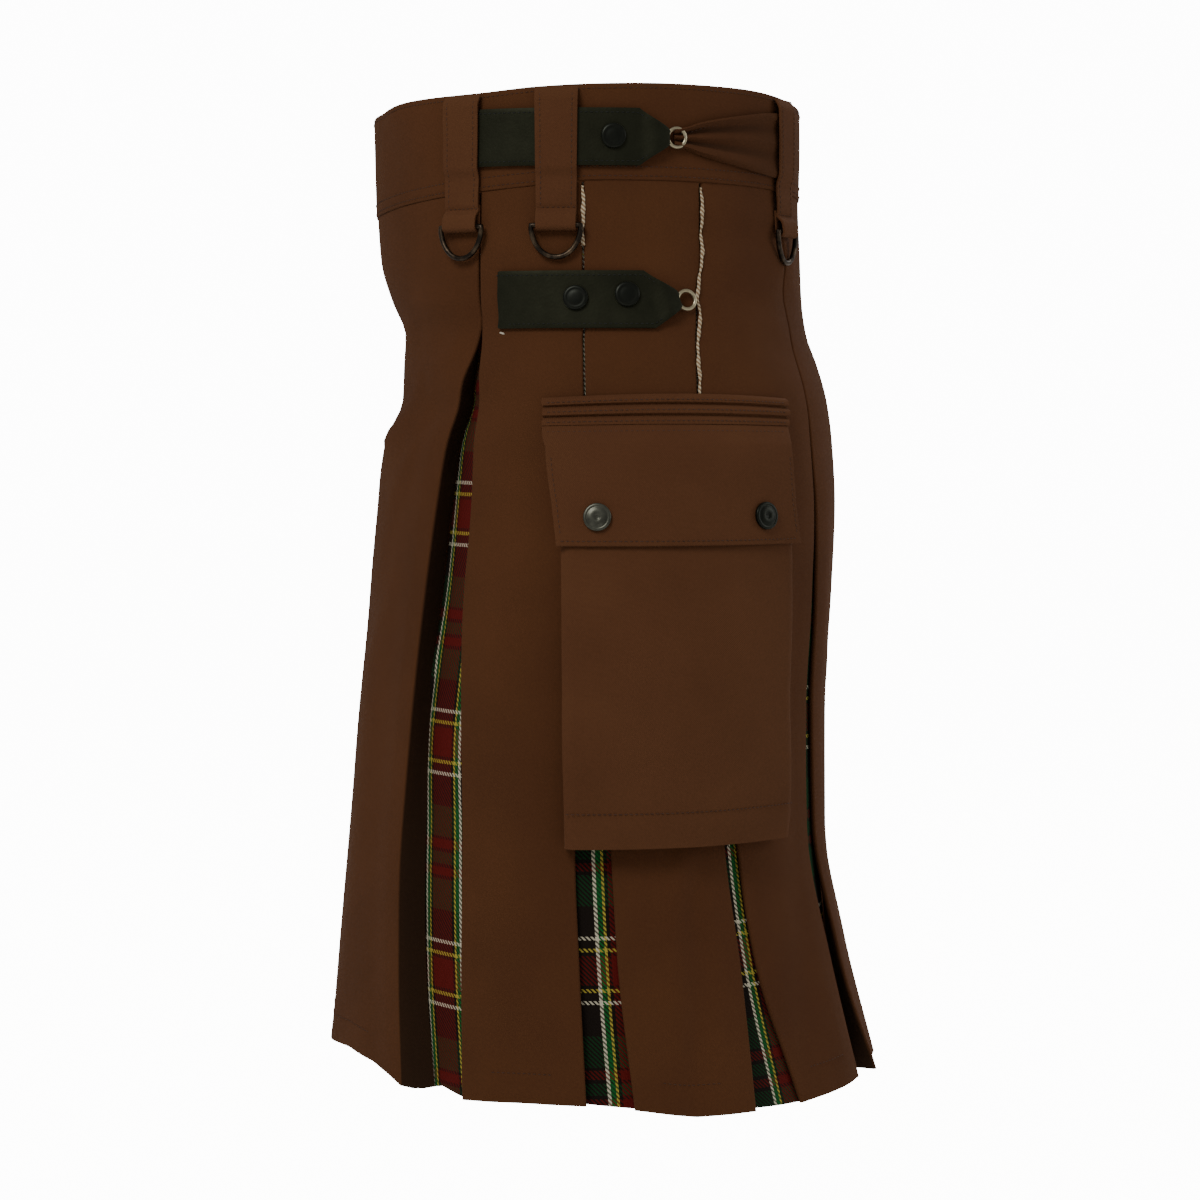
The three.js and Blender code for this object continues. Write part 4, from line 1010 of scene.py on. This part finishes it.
strap_stitches = []
for name, (middle, start, face) in STRAPS.items():
    arcs = np.concatenate([
        [start, start + 0.5, start + 1.2], np.linspace(start + 3, STRAP_TIP - TIP_LENGTH, 44),
        np.linspace(STRAP_TIP - 15.5, STRAP_TIP - 2, 12), [STRAP_TIP - 1, STRAP_TIP]])
    across = np.linspace(-1, 1, 17)[:, None]
    out, half = strap_line(start, face, arcs)
    edge_dip = 0.3 * np.clip((np.abs(across) - 0.8) / 0.2, 0, 1) ** 2
    drop = middle + across * half[None, :]
    ending = np.clip(1 - (arcs[None, :] - start) / 40.0, 0, 1)
    arc = arcs[None, :] + (middle - drop) * STRAP_SLANT * ending
    sheet_pair(f"strap_{name}", place(drop, arc, out[None, :] - edge_dip), np.stack([arc, -drop], -1) / 1000,
               DARK_LEATHER, "hide", LEATHER_THICK / 1000, "leather", rounding=0.0006)
    border = np.concatenate([np.linspace(start + 2.5, STRAP_TIP - TIP_LENGTH - 0.8, 60), [STRAP_TIP - 3.2]])
    out, half = strap_line(start, face, border)
    for edge in (-1, 1):
        strap_stitches += both_sides(*spot(middle + edge * (half - 2.6), border, out + LEATHER_THICK / 2))
LEATHER_THREAD = thread_material("dark leather thread", srgb(14, 15, 10))
stitch_rows("strap_stitching", strap_stitches, LEATHER_THREAD, thread=0.0006)

# A short end of pale thread is left at the foot of each lower strap's front end
PALE_THREAD = thread_material("pale thread", srgb(190, 180, 160))
thread_end = spot(np.linspace(148.0, 149.4, 6), np.linspace(166.6, 172.0, 6), 0.9)
stitch_rows("strap_tack", both_sides(*thread_end), PALE_THREAD, thread=0.0013, pitch=5.0,
            length=4.6)


# Small rings. Pale wire rings that the strap tips are sewn over, lying flat against the cloth.

PALE_METAL = metal("pale metal", srgb(150, 138, 106), srgb(204, 194, 164), 300.0, 2.0, (0.4, 0.25), 0.9)
bpy.ops.mesh.primitive_torus_add(major_radius=SMALL_RING_RADIUS / 1000, minor_radius=SMALL_RING_WIRE / 2000,
                                 major_segments=48, minor_segments=14, rotation=(math.radians(90), 0, 0))
bpy.ops.object.transform_apply(location=True, rotation=True, scale=True)
small_ring_mesh = taken_mesh(bpy.context.object)


def lean_at(drop, arc, out_at):
    """Angle by which the surface leans outwards going down, for a flat piece laid on it."""
    share = arc / half_round(drop)
    here, normal = spot(drop, arc, 0.0)
    reach = [float((place(at, share * half_round(at), out_at(at)) - here) @ normal) * 1000
             for at in (drop - 8, drop + 8)]
    return math.atan2(reach[1] - reach[0], 16)


def add_on_surface(name, mesh, drop, arc, out_at, material):
    """A flat piece on both sides of the kilt, seated on the cloth's surface."""
    point, normal = spot(drop, arc, out_at(drop))
    placed_pair(name, "metal", mesh, point, normal, material, lean=lean_at(drop, arc, out_at))


for name, (middle, _, face) in STRAPS.items():
    add_on_surface(f"strap_ring_{name}", small_ring_mesh, middle, STRAP_TIP + RING_BEYOND,
                   lambda drop: face + RING_SEAT + SMALL_RING_WIRE / 2, PALE_METAL)


# Snap caps. Pressed steel caps with a gunmetal finish: a rolled rim round a dished face with a low dome.

def snap_cap(radius, height, profile):
    """A cap modelled from a cylinder: inset for the rim, sunk for the dish, raised again for the dome."""
    bpy.ops.mesh.primitive_cylinder_add(vertices=48, radius=radius, depth=height * 0.6,
                                        location=(0, 0, height * 0.3))
    cap = bpy.context.object
    bpy.ops.object.transform_apply(location=True, rotation=True, scale=True)
    bpy.ops.object.mode_set(mode="EDIT")
    bpy.ops.mesh.select_mode(type="FACE")
    bpy.ops.mesh.select_all(action="DESELECT")
    bpy.ops.object.mode_set(mode="OBJECT")
    max(cap.data.polygons, key=lambda face: face.center.z).select = True
    bpy.ops.object.mode_set(mode="EDIT")
    for inset, lift in profile:
        bpy.ops.mesh.inset(thickness=radius * inset, depth=height * lift)
    bpy.ops.object.mode_set(mode="OBJECT")
    round_edges(cap, radius * 0.03, 30)
    cap.data.transform(Matrix.Rotation(math.radians(-90), 4, "X"))
    return taken_mesh(cap)


# Steps inwards from the cap's rim, as shares of its radius and of its height
STRAP_CAP = snap_cap(0.0074, 0.0024, [(0.06, 0.16), (0.08, 0.12), (0.1, 0.02), (0.08, -0.06), (0.06, 0.0),
                                      (0.14, 0.1), (0.16, 0.06), (0.16, 0.02)])
FLAP_CAP = snap_cap(0.0082, 0.0028, [(0.07, 0.12), (0.09, 0.06), (0.08, -0.1), (0.1, 0.14), (0.12, 0.12),
                                     (0.14, 0.05), (0.16, -0.02), (0.08, -0.16), (0.05, -0.04)])
# Strap, drop and arc of each cap on the straps
STRAP_SNAPS = {"snap_upper": ("upper", 32.0, 247.5), "snap_lower_front": ("lower", 128.0, 219.8),
               "snap_lower_rear": ("lower", 126.0, 250.2)}
GUNMETAL = metal("gunmetal", srgb(17, 19, 14), srgb(38, 40, 32), 220.0, 5.0, (0.45, 0.28), 0.8)
# Painted light: a paler copy of the gunmetal for the front cap of each flap
LIT_GUNMETAL = metal("gunmetal painted lit", srgb(40, 39, 32), srgb(98, 98, 86), 220.0, 5.0, (0.45, 0.28), 0.8)
for name, (strap, drop_at, arc_at) in STRAP_SNAPS.items():
    add_on_surface(name, STRAP_CAP, drop_at, arc_at, lambda drop: STRAPS[strap][2] + CAP_SEAT, GUNMETAL)


# Cloth tab. A tapered piece of twill from the upper strap's ring to the rear loop, gathered into the ring
# so that ridges fan out of it.

# Arc, half height and distance out along the tab
TAB = [
    (284, 4, 2.2), (287, 4.8, 2.2), (292.5, 6.3, 2.3), (300, 9, 2.5), (316, 12.5, 2.6), (334, 15.5, 2.6),
    (352, 18, 2.6), (370, 19.5, 2.6), (387, 20, 2.6),
]
TAB_MIDDLE = 32.5
TAB_RIDGES = 7.4
arc = np.linspace(TAB[0][0], TAB[-1][0], 68)[None, :]
across = np.linspace(-1, 1, 29)[:, None]
fade = np.clip((TAB[-1][0] - arc) / 95, 0, 1)
wave = np.cos(across * TAB_RIDGES + 0.6)
ridge = 2.1 * wave * fade + 0.9 * np.exp(-((np.abs(across) - 0.9) / 0.1) ** 2)
drop = TAB_MIDDLE + across * table_curve(TAB, 1, arc)
arc = arc + 0 * across
points = place(drop, arc, table_curve(TAB, 2, arc) + np.maximum(ridge, -0.6))
# Painted shade: the whole tab is darkened a little, and more in the valleys between its ridges
for tab in sheet_pair("side_tab", points, np.stack([arc, -drop], -1) / 1000, TWILL, "twill", TWILL_THICK,
                      unfaded=0.2 + 0.5 * np.clip(-wave, 0, 1) * fade):
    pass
along = np.linspace(294, 384, 50)
tab_stitches = []
for edge in (-1, 1):
    tab_stitches += both_sides(*spot(TAB_MIDDLE + edge * (table_curve(TAB, 1, along) - 3.4), along,
                                     table_curve(TAB, 2, along) + 0.7))
stitch_rows("side_tab_stitching", tab_stitches, BROWN_THREAD)


# Cargo pocket. A pouch of twill sewn to the hip below the lower strap: a heading with three stitched ridges,
# a flap that snaps down over the mouth, and a deep pouch with a turned hem along its foot.

# Drop, then arcs of the pocket's front and rear sides
POCKET_SIDES = [
    (188, 202.8, 363.5), (204, 212.7, 367.5), (216, 221.8, 368), (250, 233, 375.6), (274, 240, 384),
    (360, 256, 398), (449, 269.5, 415.5),
]
HEADING = [(188, 2.8), (189.6, 5.0), (191.4, 5.2), (192.8, 3.2), (193.6, 3.3), (195.4, 6.6), (197.4, 6.8),
           (198.8, 4.6), (199.6, 4.8), (201.4, 7.4), (204, 7.9)]
FLAP = [(204.3, 6.4), (210, 10), (216, 13), (225, 14.2), (250, 15.6), (274, 16.4)]
POUCH_FRONT = [(216, 10.5), (250, 13.2), (274, 14), (330, 16.5), (390, 17), (430, 15.5), (449, 13)]
POUCH_BACK = 3.5
HEADING_BOW = 2.6
POUCH_BACK_RIM, POUCH_RIM, POUCH_BOTTOM = 204.6, 216, 449.0
POUCH_HEM = 20.0
POUCH_COLUMNS = 46


def pocket_arc(drop, share):
    left, right = straight(POCKET_SIDES, 1, drop), straight(POCKET_SIDES, 2, drop)
    return left + share * (right - left)


def bowed(drop, share):
    """The heading and the flap's root bow up in the middle; the bow is gone where the pouch begins."""
    return drop - HEADING_BOW * np.sin(share * math.pi) * np.clip((POUCH_RIM - drop) / 28, 0, 1)


def flap_out(drop, share):
    swell = 0.6 * np.sin(share * math.pi) * np.clip((drop - POUCH_RIM) / 30, 0, 1)
    return table_curve(FLAP, 1, drop) + swell


def pocket_part(name, drop, out, thickness, **more):
    """The heading or the flap on both sides, from its drops and its distances out."""
    drop = drop + 0 * pocket_across
    arc = pocket_arc(drop, pocket_across)
    return sheet_pair(name, place(bowed(drop, pocket_across), arc, out), np.stack([arc, -drop], -1) / 1000,
                      LIT_TWILL, "twill", thickness, **more)


pocket_across = np.linspace(0, 1, 60)[None, :]
drop = np.linspace(HEADING[0][0], HEADING[-1][0], 33)[:, None]
for heading in pocket_part("pocket_heading", drop, table_curve(HEADING, 1, drop) - 0.7, 0.0014):
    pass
drop = np.concatenate([np.linspace(FLAP[0][0], POUCH_RIM, 14), np.linspace(POUCH_RIM + 3, FLAP[-1][0], 30)])
drop = drop[:, None]
for flap in pocket_part("pocket_flap", drop, flap_out(drop, pocket_across), 0.0018, rounding=0.0005):
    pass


def pouch_ring(level):
    """Arcs, outs and drops round the pouch at a share of its height: front from left to right, then back."""
    back_drop = POUCH_BACK_RIM + level * (POUCH_BOTTOM - POUCH_BACK_RIM)
    front_drop = POUCH_RIM + level * (POUCH_BOTTOM - POUCH_RIM)
    shares = np.linspace(0, 1, POUCH_COLUMNS)
    arcs = pocket_arc(front_drop, shares) + 2.25 * (1 - 2 * shares)
    edge = np.minimum(shares, 1 - shares) * (pocket_arc(front_drop, 1) - pocket_arc(front_drop, 0))
    corner = 2.5 * (1 - np.sqrt(1 - (1 - np.clip(edge / 7.0, 0, 1)) ** 2))
    swell = 0.8 * np.sin(shares * math.pi) * math.sin(level * math.pi)
    waves = math.sin(front_drop * 0.83) + 0.6 * math.sin(front_drop * 1.31 + 1)
    pucker = 0.28 * np.exp(-((edge - 5.0) / 4.5) ** 2) * waves
    ledge = 0.5 * math.exp(-((front_drop - POUCH_BOTTOM + POUCH_HEM - 1) / 1.6) ** 2)
    outs = float(table_curve(POUCH_FRONT, 1, front_drop)) - corner + swell + pucker - ledge
    back_arcs = (pocket_arc(back_drop, shares) + 1.5 * (1 - 2 * shares))[::-1]
    return (np.concatenate([arcs, back_arcs]), np.append(outs, np.full(POUCH_COLUMNS, POUCH_BACK)),
            np.repeat([front_drop, back_drop], POUCH_COLUMNS))


pouch_levels = np.concatenate([np.linspace(0, 0.96, 44), [0.975, 0.99, 1.0]])
rings = [pouch_ring(level) for level in pouch_levels]
pouch_points = np.array([place(drops, arcs, outs) for arcs, outs, drops in rings])
pouch_uv = np.array([np.stack([arcs, -drops], -1) for arcs, outs, drops in rings]).reshape(-1, 2) / 1000
pouch_faces = []
count = 2 * POUCH_COLUMNS
foot = (len(rings) - 1) * count
for start in range(0, foot, count):
    for column in range(count):
        a, b = start + column, start + (column + 1) % count
        pouch_faces.append((a, a + count, b + count, b))
for column in range(POUCH_COLUMNS - 1):
    across = foot + count - 1 - column
    pouch_faces.append((foot + column, across, across - 1, foot + column + 1))
for side in SIDES:
    faces = pouch_faces if side == "left" else [face[::-1] for face in pouch_faces]
    pouch = new_piece(f"pocket_bag_{side}_cloth", on_side(pouch_points, side).reshape(-1, 3), faces,
                      LIT_TWILL)
    add_uv(pouch, pouch_uv)
    thicken(pouch, TWILL_THICK)
    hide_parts(f"pocket_bag_{side}")

# Drop, share across and distance out of each row of stitches on the pocket
shares, down = np.linspace(0.015, 0.985, 90), np.linspace(222, 270, 30)
pocket_rows = [(drop, shares, table_curve(HEADING, 1, drop) + 0.1) for drop in (190.5, 196, 202)]
pocket_rows += [(drop, shares, flap_out(drop, shares) + 0.95) for drop in (207.5, 271)]
pocket_rows += [(down, share, table_curve(FLAP, 1, down) + 0.95) for share in (0.02, 0.98)]
hem_drop = POUCH_BOTTOM - POUCH_HEM
pocket_rows.append((hem_drop, shares, table_curve(POUCH_FRONT, 1, hem_drop) + 0.75))
pocket_stitches = []
for drop, share, out in pocket_rows:
    pocket_stitches += both_sides(*spot(bowed(drop, share), pocket_arc(drop, share), out))
stitch_rows("pocket_stitching", pocket_stitches, BROWN_THREAD)

# The front cap of each flap has a paler copy of the gunmetal as painted light, since it faces the light; the
# rear cap, turned away, has the darker gunmetal
FLAP_SNAPS = {"flap_snap_front": (257.0, 258.5, LIT_GUNMETAL), "flap_snap_rear": (257.0, 352.9, GUNMETAL)}
for name, (drop_at, arc_at, finish) in FLAP_SNAPS.items():
    add_on_surface(name, FLAP_CAP, drop_at, arc_at,
                   lambda drop: float(table_curve(FLAP, 1, drop)) + 1.5, finish)


# Camera, floor and light. The photograph's angle on the wearer's left, on a plain white ground with soft light.

camera_data = bpy.data.cameras.new("camera")
camera_data.lens, camera_data.sensor_width, camera_data.shift_y = 97.17, 36.0, -0.06
camera_data.clip_end = 50
camera = bpy.data.objects.new("camera", camera_data)
bpy.context.collection.objects.link(camera)
camera.location = (2.0852, 0.0002, -0.171)
pitch, yaw = math.radians(1.923), math.radians(0.222)
facing = Vector((-math.cos(pitch) * math.cos(yaw), math.cos(pitch) * math.sin(yaw), -math.sin(pitch)))
camera.rotation_euler = facing.to_track_quat("-Z", "Y").to_euler()
bpy.context.scene.camera = camera

# Strength with which the floor and the room shine for the camera alone, so that both are plain white
GROUND_WHITE = 13.0
bpy.ops.mesh.primitive_plane_add(size=30, location=(0, 0, -0.78))
floor = bpy.context.object
floor.name = "floor"
floor_material, tree, surface = new_material("pale floor")
tree.feed(surface, {"Base Color": (0.86, 0.86, 0.85, 1), "Roughness": 0.9,
                    "Emission Color": (1, 1, 0.99, 1), "Emission Strength": tree.seen(GROUND_WHITE)})
floor.data.materials.append(floor_material)

world = bpy.data.worlds.new("studio")
bpy.context.scene.world = world
world.use_nodes = True
tree = Tree(world.node_tree)
room = {"Color": (1, 1, 1, 1), "Strength": tree.math("ADD", tree.seen(GROUND_WHITE), 0.33)}
tree.feed(tree.nodes["Background"], room)

# Name, place, size in metres and power of each soft light
LIGHTS = [
    ("key", (1.95, -1.1, 1.55), 1.0, 38),
    ("fill", (0.1, 3.0, 0.6), 1.6, 18),
    ("back", (-2.4, 0.9, 1.8), 2.0, 30),
]
for name, at, size, power in LIGHTS:
    data = bpy.data.lights.new(name, "AREA")
    data.size, data.energy = size, power
    light = bpy.data.objects.new(name, data)
    light.location = at
    light.rotation_euler = (Vector((0, 0, -0.25)) - Vector(at)).to_track_quat("-Z", "Y").to_euler()
    bpy.context.collection.objects.link(light)
